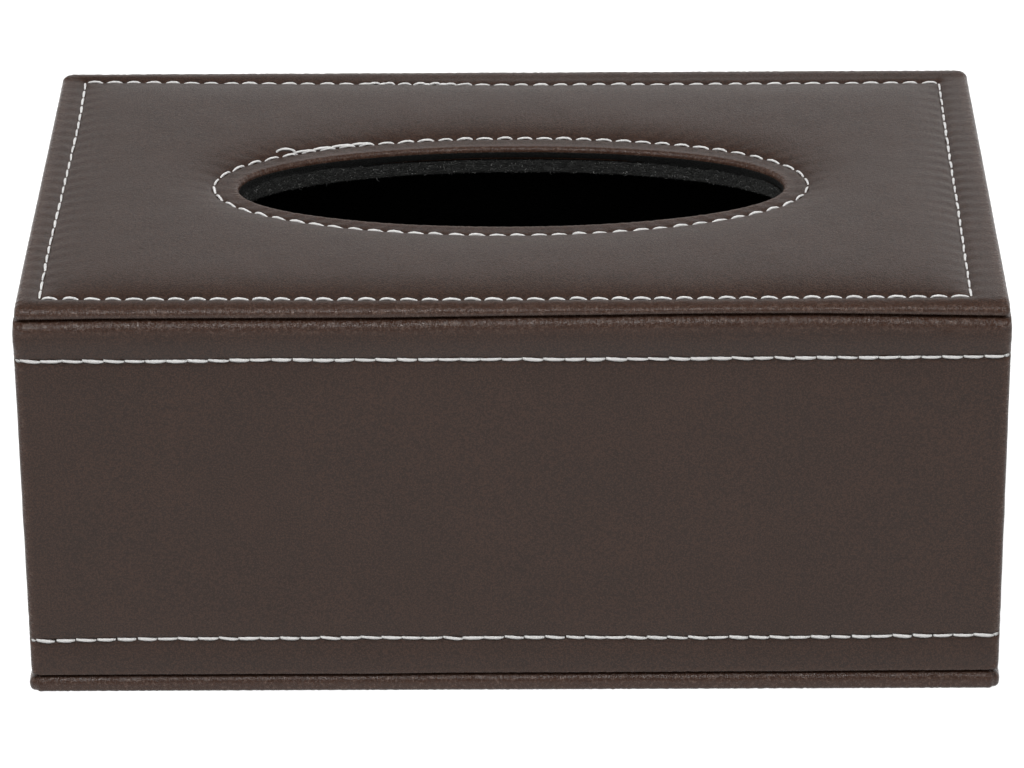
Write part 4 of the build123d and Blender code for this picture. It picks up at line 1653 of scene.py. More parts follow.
@dataclass
class PaddedTop:
    """The padded leather top: its stitched rectangle, its stitched oval and its rolled slot."""

    workshop: Workshop
    sewing: Sewing
    seed: int = 91
    corners: Edges = (1.3, 1.3, 3.6, 3.6)
    front_reach: float = 0.5
    back_reach: float = 0.45
    slot: Oval = Oval((71.4, 24.6), (-0.5, -1.9), 0.02)
    oval: Oval = Oval((78.0, 30.7), (-0.6, -1.2), 0.02)
    thread_corners: tuple[Pair, ...] = (
        (-118.4, -68.5), (114.9, -69.4), (116.3, 66.9), (-117.9, 69.9)
    )
    side_bows: tuple[Pair, ...] = ((-0.9, -0.1), (0.1, 0.0), (1.7, 0.0), (0.3, 0.45))
    edge: float = 1.5
    edge_swell: float = 0.3
    front_round: Pair = (4.4, 2.3)
    bottom_round: float = 0.9
    rim_dip: float = 0.4
    ring_rise: float = 0.12
    groove: float = 0.28
    crown: float = 2.3
    shoulder: float = 5.8
    oval_shoulder: float = 5.5
    lip: float = 1.15
    bead: float = 0.2
    pucker: float = 0.1
    needle_hole: float = 0.09
    groove_width: float = 0.75
    bead_width: float = 1.1
    front_share: float = 0.85
    back_roll: Triple = (69.3, 3.0, 0.36)
    back_fall: Triple = (72.4, 2.4, 0.26)
    waves: tuple[Pair, ...] = ((58, 0.09), (17, 0.025), (26, 0.05))
    columns: Triple = (0.82, 0.3, 4.5)

    def __post_init__(self) -> None:
        """Works out the top from the frame."""
        self.space = Extent.of("top_cover")
        self.board = Extent.of("top_board")
        self.low = np.array(self.space.low[:2]) - np.array([0.0, self.front_reach])
        self.high = np.array(self.space.high[:2]) + np.array([0.0, self.back_reach])
        self.bottom = self.space.low[2]
        self.rim = self.board.high[2] + SHEETS.leather
        self.quad = np.array(self.thread_corners)
        sides = np.roll(self.quad, -1, axis=0) - self.quad
        self.side_lengths = np.linalg.norm(sides, axis=1)
        self.side_ways = sides / self.side_lengths[:, None]
        self.side_inward = np.column_stack([-self.side_ways[:, 1], self.side_ways[:, 0]])
        self.side_stitches = np.round(self.side_lengths / SHEETS.stitch_pitch)
        self.oval_turn = np.linspace(0, 2 * math.pi, 1441)
        steps = np.linalg.norm(np.diff(self.oval.at(self.oval_turn), axis=0), axis=1)
        self.oval_run = np.concatenate([[0.0], np.cumsum(steps)])
        self.oval_stitches = round(self.oval_run[-1] / SHEETS.stitch_pitch)

    # -- distances and heights

    def sway(self, side: int, along: Array) -> Array:
        """How far a side of the stitched rectangle bends inwards at a place along it."""
        share = np.clip(along / self.side_lengths[side], 0, 1)
        stray = Ripple(80, 0.15, self.seed + 20 + side).at(along, 0 * along)
        stray = stray * np.sin(math.pi * share)
        bow, skew = self.side_bows[side]
        return bow * 4 * share * (1 - share) + skew * np.sin(2 * math.pi * share) + stray

    def front_drop(self, x: Array, y: Array) -> Array:
        """How far the front margin has curved down at a place before the front row of thread."""
        reach, depth = self.front_round
        share = np.clip(1 - (y - self.low[1]) / reach, 0, 1)
        return (depth - self.front_share * gap_rise(x)) * (1 - np.sqrt(1 - share**2))

    def from_rectangle(self, x: Array, y: Array) -> tuple[Array, Array, Array]:
        """Where a place lies from the stitched rectangle.

        Returns:
            Its signed distance inside it, the beat of its stitches (1 at a needle hole), and how
            far the foam fills the leather there, from 0 to 1.
        """
        point = np.stack([x, y], axis=-1)
        inside = np.full(x.shape, 1e9)
        best = np.full(x.shape, 1e9)
        beat = np.zeros(x.shape)
        fill = np.ones(x.shape)
        for k in range(4):
            off = point - self.quad[k]
            along = off @ self.side_ways[k]
            across = off @ self.side_inward[k] - self.sway(k, along)
            beyond = np.maximum(np.maximum(-along, along - self.side_lengths[k]), 0)
            far = np.hypot(across, beyond)
            wave = np.cos(2 * math.pi * along * self.side_stitches[k] / self.side_lengths[k])
            beat = np.where(far < best, wave, beat)
            best = np.minimum(best, far)
            inside = np.minimum(inside, across)
            fill = fill * (1 - np.exp(-np.maximum(across, 0) / self.shoulder))
        return np.where(inside > 0, best, -best), beat, fill

    def height(self, x: Array, y: Array) -> Array:
        """Height of the leather's upper face."""
        inside, beat, fill = self.from_rectangle(x, y)
        outside = self.oval.distance(x, y)
        run = np.interp(self.oval.turn(x, y), self.oval_turn, self.oval_run)
        oval_beat = np.cos(2 * math.pi * run * self.oval_stitches / self.oval_run[-1])
        fill = fill * (1 - np.exp(-np.maximum(outside, 0) / self.oval_shoulder))
        total = self.rim - self.rim_dip + self.crown * fill
        total += self.rim_dip * smooth(-inside / 2.6) + self.ring_rise * smooth(-outside / 2.2)
        total -= self.groove * (well(inside, self.groove_width) + well(outside, self.groove_width))
        (roll_from, roll_over, roll), (fall_from, fall_over, fall) = self.back_roll, self.back_fall
        fallen = fall * smooth((y - fall_from) / fall_over)
        total += smooth((y - roll_from) / roll_over) * (roll - fallen)
        total += self.bead * well(self.slot.distance(x, y) - self.lip, self.bead_width)
        loose = 1 + 0.8 * smooth((x - 60) / 50) * smooth((40 - np.abs(y)) / 60)
        total -= self.pucker * loose * self._puckers(inside, beat, 3.6)
        total -= 0.8 * self.pucker * self._puckers(outside, oval_beat, 3.0)
        pits = self._pits(inside, beat) + self._pits(outside, oval_beat)
        soft = smooth(inside / 12) * smooth(outside / 9)
        ripples = [Ripple(*wave, self.seed + k) for k, wave in enumerate(self.waves)]
        large, small, margin = (ripple.at(x, y) for ripple in ripples)
        total += soft * (large + small) + 0.5 * (1 - soft) * margin
        floor = self.board.high[2] + 0.04
        return np.maximum(total, floor) - self.needle_hole * pits - self.front_drop(x, y)

    @staticmethod
    def _puckers(off: Array, beat: Array, reach: float) -> Array:
        """Swell between the holes of a row, that fades over reach and stays out of its groove."""
        return beat * np.exp(-np.abs(off) / reach) * (1 - well(off, 0.9))

    @staticmethod
    def _pits(off: Array, beat: Array) -> Array:
        """Needle holes of a row, 1 in the middle of each."""
        return np.maximum(beat, 0) ** 10 * well(off, 0.6)

    # -- loops seen from above

    def side_shares(self) -> list[Array]:
        """Places of the columns along each side of the top, as shares of it, without its end."""
        size = self.high - self.low
        return [stations(length, *self.columns)[:-1] / length for length in (size[0], size[1]) * 2]

    def edge_radius(self) -> Array:
        """Radius of the upper edge at each column, larger towards the front's left corner."""
        spots = self.plain_loop(self.tips(0.0))
        corner = smooth((-spots[:, 0] - 80) / 44) * smooth((-40 - spots[:, 1]) / 35)
        return self.edge + self.edge_swell * corner

    def outline(self, inset: Values) -> tuple[Array, Array]:
        """The top's rounded outline, moved in by inset, and its outward direction."""
        points, normals = [], []
        spots = self.tips(0.0)
        first = 0
        for k, shares in enumerate(self.side_shares()):
            last = first + len(shares)
            depth = inset[first:last, None] if isinstance(inset, Array) else inset
            first = last
            start, end = spots[k], spots[(k + 1) % 4]
            length = np.linalg.norm(end - start)
            way = (end - start) / length
            out = np.array([way[1], -way[0]])
            along = shares * length
            gap = np.minimum(along, length - along)
            early = along < length / 2
            radius = np.where(early, self.corners[k], self.corners[(k + 1) % 4])
            lean = np.where(gap < radius, (1 - gap / radius) * math.pi / 4, 0.0)
            sign = np.where(early, -1.0, 1.0)
            normal = out * np.cos(lean)[:, None] + way * (sign * np.sin(lean))[:, None]
            base = start + way * along[:, None] - out * depth
            turn = way * radius[:, None]
            near = np.where(early[:, None], start + turn, end - turn)
            bent = near - out * radius[:, None] + normal * (radius[:, None] - depth)
            points.append(np.where((gap < radius)[:, None], bent, base))
            normals.append(normal)
        return np.concatenate(points), np.concatenate(normals)

    def tips(self, inset: float) -> Array:
        """The four corners of the top, moved in by inset."""
        (x0, y0), (x1, y1) = self.low + inset, self.high - inset
        return np.array([(x0, y0), (x1, y0), (x1, y1), (x0, y1)])

    def plain_loop(
        self, spots: Array, bend: Optional[Callable[[int, Array], Array]] = None
    ) -> Array:
        """A loop with straight or bent sides between four corners."""
        points = []
        for k, shares in enumerate(self.side_shares()):
            spot = spots[k] + (spots[(k + 1) % 4] - spots[k]) * shares[:, None]
            if bend is not None:
                spot = spot + self.side_inward[k] * bend(k, shares * self.side_lengths[k])[:, None]
            points.append(spot)
        return np.concatenate(points)

    def stitched_loop(self, inset: float, rounding: float = 0.0) -> Array:
        """The stitched rectangle moved in by inset, its corners cut soft by rounding."""
        spots = self.quad + inset * (np.roll(self.side_inward, 1, axis=0) + self.side_inward)
        loop = self.plain_loop(spots, self.sway)
        if rounding:
            middle = spots.mean(axis=0)
            gaps = np.min(np.linalg.norm(loop[:, None] - spots[None], axis=2), axis=1)
            pull = 0.6 * rounding * (1 - smooth(gaps / (2.6 * rounding)))
            away = middle - loop
            loop = loop + away / np.linalg.norm(away, axis=1)[:, None] * pull[:, None]
        return loop

    def oval_loop(self, oval: Oval, outset: Values = 0.0) -> Array:
        """An oval moved out by outset, with the same columns as the rectangle."""
        corner = math.radians(31)
        halves = ((1, 1), (2, -1), (2, 1), (3, -1), (3, 1))
        ends = [k * math.pi + sign * corner for k, sign in halves]
        turns = []
        for k, shares in enumerate(self.side_shares()):
            angle = np.linspace(ends[k], ends[k + 1], 400)
            steps = np.linalg.norm(np.diff(oval.at(angle), axis=0), axis=1)
            run = np.concatenate([[0.0], np.cumsum(steps)])
            turns.append(np.interp(shares * run[-1], run, angle))
        return oval.at(np.concatenate(turns), outset)

    # -- meshes

    def make(self) -> None:
        """Builds and mounts the leather, the foam and the thread."""
        cover = self.workshop.mount(self.cover(), Body.CASE, Slot.LEATHER, "top_cover")
        foam = self.workshop.mount(self.foam(), Body.CASE, Slot.FOAM, "top_padding")
        self.sew()

    def face_loops(self) -> list[Array]:
        """Loops over the upper face, from its outer border to the slot's lip."""
        border, _ = self.outline(self.edge_radius())
        thread = self.stitched_loop(0)
        field_out, field_in = self.stitched_loop(11, 5), self.stitched_loop(20, 14)
        oval_out = self.oval_loop(self.oval, 12)
        oval_thread, lip = self.oval_loop(self.oval), self.oval_loop(self.slot, self.lip)
        margin = (0, 0.08, 0.18, 0.3, 0.44, 0.58, 0.7, 0.8, 0.88, 0.94)
        loops = between(border, thread, margin)
        loops += [self.stitched_loop(inset) for inset in (0, 0.3, 0.65, 1.1, 1.7, 2.5, 3.5)]
        inner = self.stitched_loop(4.7, 0.5)
        loops += between(inner, field_out, (0, 0.2, 0.4, 0.6, 0.8))
        loops += between(field_out, field_in, (0, 0.2, 0.4, 0.6, 0.8))
        loops += between(field_in, oval_out, np.linspace(0, 1, 15)[:-1])
        outsets = (12, 10, 8.2, 6.6, 5.2, 4, 3, 2.2, 1.5, 0.95, 0.5, 0.2)
        loops += [self.oval_loop(self.oval, out) for out in outsets]
        shares = (0.04, 0.12, 0.22, 0.36, 0.52, 0.7, 0.86, 1.0)
        loops += between(oval_thread, lip, shares)
        return loops

    def cover(self) -> Thing:
        """The leather as one closed shell with the slot through it."""
        draft = MeshDraft()
        creases = Creases(1.5, 0.055, self.seed + 5)
        edge = self.edge_radius()
        border, normals = self.outline(edge)
        along, slot_along = running(border), running(self.oval_loop(self.slot))
        quarter = 0.5 * math.pi
        rings = []

        def ring(points: Array, z: Values, fold: Values = 0.0) -> None:
            """Adds one ring of the shell."""
            heights = np.broadcast_to(z, (len(points),))
            rings.append(draft.add(np.column_stack([points, heights]), fold, loop_ways(points)))

        # upper face
        for loop in self.face_loops():
            gap = np.min(np.column_stack([loop - self.low, self.high - loop]), axis=1)
            slot_gap = self.slot.distance(loop[:, 0], loop[:, 1])
            rim_fold = smooth((3.9 - gap) / 2.8)
            lip_fold = smooth((self.lip + 1.2 - slot_gap) / 1.2)
            wrinkle = rim_fold * creases.at(along, edge - gap)
            wrinkle = wrinkle + lip_fold * creases.at(slot_along, self.lip - slot_gap)
            z = self.height(loop[:, 0], loop[:, 1]) + wrinkle
            ring(loop, z, 0.4 * np.maximum(rim_fold, lip_fold))
        # lip and slot wall
        lip = self.oval_loop(self.slot, self.lip)
        top = self.height(lip[:, 0], lip[:, 1])
        for k in range(1, 9):
            a = quarter * k / 8
            wrinkle = creases.at(slot_along, np.full(len(lip), self.lip * a))
            loop = self.oval_loop(self.slot, self.lip * (1 - math.sin(a)) - wrinkle * math.sin(a))
            z = top - self.lip * (1 - math.cos(a)) + wrinkle * math.cos(a)
            ring(loop, z, 0.4 + 0.4 * math.sin(a))
        slot = self.oval_loop(self.slot)
        for share in (0.35, 0.7, 1.0):
            ring(slot, (top - self.lip) * (1 - share) + self.bottom * share, 0.5)
        # margin turned in under the slot, then the hidden inner side of the leather
        inner = SHEETS.leather
        lowest, inside, board = self.bottom, self.bottom + inner, self.board.high[2]
        outsets = (SHEETS.slot_margin, SHEETS.slot_margin, inner, inner)
        for outset, z in zip(outsets, (lowest, inside, inside, board)):
            ring(self.oval_loop(self.slot, outset), z)
        hidden = [self.oval_loop(self.oval), self.oval_loop(self.oval, 7)]
        hidden += [self.stitched_loop(20, 14), self.stitched_loop(8, 4), self.stitched_loop(0)]
        for loop in hidden:
            ring(loop, np.maximum(self.height(loop[:, 0], loop[:, 1]) - inner, lowest + 2 * inner))
        insets = (inner + 0.6, inner, inner, SHEETS.margin, SHEETS.margin, 2.9)
        for inset, z in zip(insets, (board, board - 0.6, inside, inside, lowest, lowest)):
            ring(self.plain_loop(self.tips(inset)), z)
        # outer edge, from below up
        edge_top = self.height(border[:, 0], border[:, 1])
        front = smooth((-60 - border[:, 1]) / 12) * gap_rise(border[:, 0])
        sideways = 1 - np.minimum(normals[:, 1], 0) ** 2

        def turned(points: Array, a: float) -> Array:
            """Height of the upper edge's round at an angle from the upright."""
            drop = self.front_drop(*points.T) - self.front_drop(*border.T)
            return edge_top - drop - sideways * edge * (1 - math.cos(a))

        foot = turned(self.outline(0.0)[0], quarter)
        round_low = np.clip(foot - self.bottom - front, 0.3, self.bottom_round)
        for k in range(6):
            a = quarter * (1 - k / 5)
            wrinkle = creases.at(along, np.full(len(along), 4.5 + a))
            plain = self.outline(round_low * (1 - math.cos(a)))[0]
            loop = plain + normals * (wrinkle * math.cos(a))[:, None]
            ring(loop, self.bottom + round_low * (1 - math.sin(a)) + front, 0.9)
        low = self.bottom + round_low + front
        for share in (0.35, 0.7):
            wrinkle = creases.at(along, np.full(len(along), 4.0 - 1.5 * share))
            ring(self.outline(0.0)[0] + normals * wrinkle[:, None], low + (foot - low) * share, 0.9)
        for k in range(9):
            a = quarter * (1 - k / 9)
            wrinkle = creases.at(along, edge * a)
            plain = self.outline(edge * (1 - math.sin(a)))[0]
            loop = plain + normals * (wrinkle * math.sin(a))[:, None]
            ring(loop, turned(plain, a) + wrinkle * math.cos(a), 0.4 + 0.55 * math.sin(a))
        draft.loft(rings, closed=True)
        return draft.finish("top_leather")

    def foam(self) -> Thing:
        """The foam sheet under the leather, pressed thin at both rows of thread."""
        draft = MeshDraft()
        floor = self.board.high[2]
        loops = [self.stitched_loop(*loop) for loop in ((1.0, 0.0), (4, 0.5), (8, 4), (13, 8))]
        field_in, oval_out = self.stitched_loop(20, 14), self.oval_loop(self.oval, 12)
        loops += between(field_in, oval_out, (0, 0.5))
        loops += [self.oval_loop(self.oval, out) for out in (12, 8, 5, 3, 1.2)]
        rings = [draft.add(np.column_stack([loops[0], np.full(len(loops[0]), floor)]))]
        for loop in loops:
            under = self.height(loop[:, 0], loop[:, 1]) - SHEETS.leather
            z = np.maximum(under - 0.02, floor + 0.02)
            rings.append(draft.add(np.column_stack([loop, z])))
        rings.append(draft.add(np.column_stack([loops[-1], np.full(len(loops[-1]), floor)])))
        draft.loft(rings, closed=True)
        return draft.finish("top_foam")

    # -- thread

    def sew(self) -> None:
        """Sews the rectangle and the oval, with the places where the thread was sewn over twice."""
        rectangle = SeamPath()
        for k in range(4):
            self._lay(rectangle, self._side_line(k, 0.0, 1.0))
        self._lay(rectangle, self._side_line(2, 0.545, 0.67, 0.3), 0.12, 0.8)
        self._row("top_edge_thread", rectangle, "top_edge_stitching", self.seed)
        oval = SeamPath()
        run = np.linspace(0, self.oval_run[-1], 8 * self.oval_stitches + 1)
        turns = np.interp(run, self.oval_run, self.oval_turn)
        self._lay(oval, self.oval.at(turns))
        self._row("oval_thread", oval, "oval_stitching", self.seed + 1)
        twice = SeamPath()
        self._lay(twice, self.oval.at(np.radians(np.linspace(136.5, 118.0, 60)), 0.2), 0.3)
        self.sewing.row(
            "oval_thread_twice", twice, Body.CASE, [], self.seed + 3, self.sewing.flat,
            unevenness=0.5, thickness=0.8, cover=1.1,
        )
        self.workshop.mount(self.loose_loop(), Body.CASE, Slot.THREAD)

    def _row(self, name: str, seam: SeamPath, node: str, seed: int) -> None:
        """Sews one row of arched stitches."""
        self.sewing.row(name, seam, Body.CASE, [node], seed, self.sewing.arched, cover=0.88)

    def _side_line(self, side: int, start: float, end: float, inset: float = 0.0) -> Array:
        """A stretch of one side of the stitched rectangle, between two shares of its length."""
        length = self.side_lengths[side]
        stitches = round(length * (end - start) / SHEETS.stitch_pitch)
        run = np.linspace(start, end, 8 * stitches + 1) * length
        line = self.quad[side] + self.side_ways[side] * run[:, None]
        return line + self.side_inward[side] * (self.sway(side, run) + inset)[:, None]

    def _lay(self, seam: SeamPath, line: Array, above: float = 0.0, spacing: float = 1.0) -> None:
        """Adds a line that lies on the upper face."""
        z = self.height(line[:, 0], line[:, 1]) + above
        seam.add(np.column_stack([line, z]), np.tile([0.0, 0.0, 1.0], (len(line), 1)), spacing)

    def loose_loop(self) -> Thing:
        """A small loop of slack thread that stands up from the oval's far side."""
        draft = MeshDraft()
        turn = np.radians(np.linspace(-35, 215, 22))
        foot = self.oval.at(np.radians(np.array([138.7])), 0.3)[0]
        ground = float(self.height(np.array(foot[0]), np.array(foot[1])))
        rise = ground + 0.5 + 0.95 * np.sin(turn)
        path = np.column_stack([2.5 * np.cos(turn), 0.5 + 0.5 * np.sin(turn), rise])
        path[:, :2] += foot
        rings = []
        for k, spot in enumerate(path):
            ahead = path[min(k + 1, len(path) - 1)] - path[max(k - 1, 0)]
            ahead /= np.linalg.norm(ahead)
            side = np.cross(ahead, (0.0, 1.0, 0.2))
            side /= np.linalg.norm(side)
            angle = np.linspace(0, 2 * math.pi, 8, endpoint=False)
            radius = 0.3 * (1 + 0.12 * np.cos(2 * angle + k))
            ring = spot + np.outer(radius * np.cos(angle), side)
            ring = ring + np.outer(radius * np.sin(angle), np.cross(ahead, side))
            ply = np.column_stack([np.full(8, 0.6 * k), angle / math.pi, 0 * angle])
            rings.append(draft.add(ring, way=ply))
        return draft.tube("oval_loose_loop", rings, "ply")


def between(first: Array, second: Array, shares: Sequence[float]) -> list[Array]:
    """Loops at shares of the way from one to another."""
    return [first + (second - first) * share for share in shares]


# ---- felt and boards ----


@dataclass
class SoftSlab:
    """A flat piece with softened edges: a felt sheet or a paper-covered board."""

    name: str
    space: Extent
    edge: float
    cell: float
    unevenness: float
    seed: int

    def build(self) -> Thing:
        """Makes the piece as one closed mesh."""
        low, high = np.array(self.space.low), np.array(self.space.high)
        size = high - low
        edge = min(self.edge, 0.45 * float(size.min()))
        axes = []
        for k in range(3):
            turn = edge * (1 - np.cos(np.linspace(0, math.pi / 2, 4)))
            cells = max(1, round((size[k] - 2 * edge) / self.cell))
            inner = np.linspace(edge, size[k] - edge, cells + 1)
            axes.append(low[k] + np.concatenate([turn[:-1], inner, (size[k] - turn[:-1])[::-1]]))
        counts = [len(a) for a in axes]
        draft = MeshDraft()
        lattice = -np.ones(counts, dtype=int)
        grid = np.stack(np.meshgrid(*axes, indexing="ij"), axis=-1)
        skin = np.zeros(counts, dtype=bool)
        for k in range(3):
            index = [slice(None)] * 3
            for end in (0, -1):
                index[k] = end
                skin[tuple(index)] = True
        points = grid[skin]
        core = np.clip(points, low + edge, high - edge)
        away = points - core
        away /= np.linalg.norm(away, axis=1)[:, None]
        x, y, z = points.T
        rough = Ripple(9, self.unevenness, self.seed).at(x + 3 * z, y - 2 * z)
        moved = core + away * (edge + np.minimum(rough, 0.0)[:, None])
        lattice[skin] = draft.add(moved)
        for k in range(3):
            for end in (0, -1):
                index = [slice(None)] * 3
                index[k] = end
                sheet = lattice[tuple(index)]
                flip = (end == 0) != (k == 1)
                draft.patch(sheet[::-1] if flip else sheet)
        return draft.finish(self.name)


@dataclass
class TopLining:
    """Felt under the top's inner board, turned up into the slot, and its black painted-shade hem.
    """

    workshop: Workshop
    lip: Oval
    slot: Oval = Oval((71.4, 24.9), (0.0, -1.2))
    seed: int = 131
    # Height of the black felt hem above the felt: a dark strip that paints the shade under the
    # leather lip.
    hem: float = 2.0
    proud: float = 0.12
    columns: int = 900
    density: float = 5.2e6
    fibre: float = 1.1

    def __post_init__(self) -> None:
        """Works out the felt's space."""
        self.space = Extent.of("top_lining")
        self.bottom, self.top = self.space.low[2], self.space.high[2]
        self.turn = np.linspace(0, 2 * math.pi, self.columns, endpoint=False)

    def make(self) -> None:
        """Builds and mounts the felt and the loose fibres at its oval edge."""
        felt = self.build()
        band = self.rim_band()
        fringe = Fuzz(self.workshop).grow("slot_fuzz", band, self.density, self.fibre, self.seed)
        self.workshop.mount(felt, Body.CASE, Slot.FELT, "top_lining")
        self.workshop.mount(fringe, Body.CASE, Slot.FELT)

    def block(self, inset: float) -> Array:
        """The felt's outer edge moved in by inset, with the oval's columns."""
        low = np.array(self.space.low[:2]) + inset
        high = np.array(self.space.high[:2]) - inset
        centre, half = (low + high) / 2, (high - low) / 2
        way = np.column_stack([np.cos(self.turn) * half[0] / half[1], np.sin(self.turn)])
        return centre + way * np.min(half / np.maximum(np.abs(way), 1e-9), axis=1)[:, None]

    def build(self) -> Thing:
        """Makes the felt as one closed shell round the inner board."""
        felt = SHEETS.felt
        draft = MeshDraft()
        run = self.turn * 52
        frayed = 0.22 * Ripple(2.6, 1.0, self.seed + 1, 14).at(run, 0 * run)
        frayed = frayed + 0.2 * Ripple(40, 1.0, self.seed + 2).at(run, 0 * run)
        rough = Ripple(2.6, 0.12, self.seed, 12)
        rings = []

        def ring(points: Array, z: Values, fold: float = 0.0) -> None:
            """Adds one ring."""
            heights = np.broadcast_to(z, (len(points),))
            rings.append(draft.add(np.column_stack([points, heights]), fold))

        # The first rings are the black hem inside the leather lip: painted shade, a dark sheet in
        # the recess beneath it.
        lip = self.lip.at(self.turn, -self.proud)
        ring(self.lip.at(self.turn, 0.3), self.top + self.hem - 0.1)
        ring(self.lip.at(self.turn, 0.0), self.top + self.hem)
        for rise in (self.hem - 0.15, 1.0, 0.5):
            ring(lip, self.top + rise)
        edge = self.top + np.minimum(frayed - 0.1, 0.3)
        ring(self.slot.at(self.turn, -0.1), edge + 0.06)
        for share in np.linspace(0, 1, 10):
            z = edge + (self.bottom + 0.5 - edge) * share
            ring(self.slot.at(self.turn, np.minimum(rough.at(run, 2.4 * z), 0.1) - 0.1), z, 1.0)
        for out, drop in ((0.2, 0.22), (0.5, 0.05), (0.9, 0.0)):
            ring(self.slot.at(self.turn, out), self.bottom + drop, 0.6)
        inner, outer = self.slot.at(self.turn, 2.0), self.block(0.4)
        for loop in between(inner, outer, np.linspace(0, 1, 10)):
            ring(loop, self.bottom)
        inside = self.bottom + felt
        levels = (self.bottom + 0.35, self.top, self.top, inside)
        for inset, z in zip((0.05, 0.0, felt, felt), levels):
            ring(self.block(inset), z)
        ring(self.slot.at(self.turn, felt), inside)
        ring(self.slot.at(self.turn, felt), self.top - 0.1)
        draft.loft(rings, closed=True)
        return draft.finish("top_felt")

    def rim_band(self) -> Thing:
        """The strip of felt that shows in the slot, for fibres to grow from."""
        draft = MeshDraft()
        heights = np.linspace(self.top - 0.15, self.bottom + 0.25, 6)
        loop = self.slot.at(self.turn, -0.05)
        rings = [draft.add(np.column_stack([loop, np.full(len(loop), z)])) for z in heights]
        draft.loft(rings, closed=False)
        return draft.finish("slot_band")


@dataclass
class Fuzz:
    """Loose fibres that stand out of felt, scattered by a Geometry Nodes tree."""

    workshop: Workshop
    radius: float = 0.085
    curl: float = 0.5
    swing: Triple = (1.35, 1.35, 3.14)
    lengths: Pair = (0.35, 1.3)

    def fibre(self) -> Thing:
        """One curled fibre, about a millimetre long."""
        draft = MeshDraft()
        rings = []
        for k in range(5):
            t = k / 4
            radius = self.radius * (1 - 0.6 * t)
            angle = np.linspace(0, 2 * math.pi, 3, endpoint=False)
            x = radius * np.cos(angle) + self.curl * t * t
            y = radius * np.sin(angle) + 0.3 * self.curl * math.sin(4 * t)
            rings.append(draft.add(np.column_stack([x, y, np.full(3, t * (1.2 - 0.5 * t) - 0.15)])))
        return draft.tube("fibre", rings)

    def tree(self) -> Tree:
        """The tree: points over the felt and a fibre at each, turned at random."""
        tree = bpy.data.node_groups.new("fuzz", "GeometryNodeTree")
        tree.is_modifier = True
        inputs = {"Felt": "Geometry", "Fibre": "Object", "Density": "Float", "Length": "Float"}
        interface(tree, "INPUT", {**inputs, "Seed": "Int", "Finish": "Material"})
        interface(tree, "OUTPUT", {"Fibres": "Geometry"})
        bench = NodeBench(tree)
        start = bench.add("NodeGroupInput").outputs
        end = bench.add("NodeGroupOutput")
        feeds = {"Mesh": start["Felt"], "Density": start["Density"], "Seed": start["Seed"]}
        scatter = bench.add("GeometryNodeDistributePointsOnFaces", feeds).outputs
        swing = bench.chance([-angle for angle in self.swing], self.swing, start["Seed"])
        turned = bench.leaned(scatter["Rotation"], swing)
        shortest, longest = self.lengths
        seed = bench.plus(start["Seed"], LENGTH_SEED)
        feeds = {"Min_001": shortest, "Max_001": longest, "Seed": seed}
        vary = bench.add("FunctionNodeRandomValue", feeds, data_type="FLOAT").outputs[1]
        scale = bench.times(vary, start["Length"])
        laid = {"Points": scatter["Points"], "Rotation": turned, "Scale": scale}
        done = planted(bench, start["Fibre"], laid, start["Seed"], start["Finish"])
        bench.feed(end, "Fibres", done)
        return tree

    def grow(self, name: str, felt: Thing, density: float, length: float, seed: int) -> Thing:
        """Grows fibres on a surface.

        Args:
            name: the piece's name.
            felt: the surface. It is removed.
            density: fibres per square metre.
            length: usual length of a fibre.
            seed: number that the scatter follows.

        Returns:
            The fibres, a plain mesh.
        """
        fibre = self.fibre()
        modifier = felt.modifiers.new("fuzz", "NODES")
        modifier.node_group = self.tree()
        finish = self.workshop.materials[Slot.FELT]
        values = {"Fibre": fibre, "Density": density, "Length": length, "Seed": seed}
        values["Finish"] = finish
        piece = realised(felt, modifier, values, name)
        bpy.data.objects.remove(fibre)
        return piece


@dataclass
class Linings:
    """The flat felt sheets and the tray's paper-covered boards."""

    workshop: Workshop
    felt: Triple = (0.35, 4.0, 0.12)
    board: Triple = (0.4, 8.0, 0.03)

    def make(self) -> None:
        """Builds and mounts every one of them."""
        case_felt = ("base_lining", "side_lining_left", "side_lining_right", "back_lining")
        tray_felt = ("floor", "front", "back", "side_left", "side_right")
        seed = 150
        for node in case_felt:
            seed += 1
            self._slab(node, Body.CASE, Slot.FELT, self.felt, seed)
        for side in tray_felt:
            seed += 1
            parts = side.split("_")
            node = f"tray_{parts[0]}_lining" + "".join("_" + p for p in parts[1:])
            self._slab(node, Body.DRAWER, Slot.FELT, self.felt, seed)
            self._slab("tray_" + side, Body.DRAWER, Slot.TRAY_BOARD, self.board, seed + 20)

    def _slab(self, node: str, body: Body, slot: Slot, kind: Sequence[float], seed: int) -> None:
        """Makes one slab in a node's place, kind being its edge, its cell and its unevenness."""
        piece = SoftSlab(node + "_sheet", Extent.of(node), *kind, seed).build()
        self.workshop.mount(piece, body, slot, node)


# ---- what stays hidden ----


HIDDEN_NODES = {
    "top_board": Slot.BOARD,
    "top_filler": Slot.CARD,
    "top_lining_board": Slot.BOARD,
    "base_board": Slot.BOARD,
    "side_board_left": Slot.BOARD,
    "side_board_right": Slot.BOARD,
    "back_board": Slot.BOARD,
    "catch_magnet_left": Slot.MAGNET,
    "catch_magnet_right": Slot.MAGNET,
    "front_board": Slot.BOARD,
    "front_backing": Slot.CARD,
    "strike_plate_left": Slot.STEEL,
    "strike_plate_right": Slot.STEEL,
}


# ---- studio ----


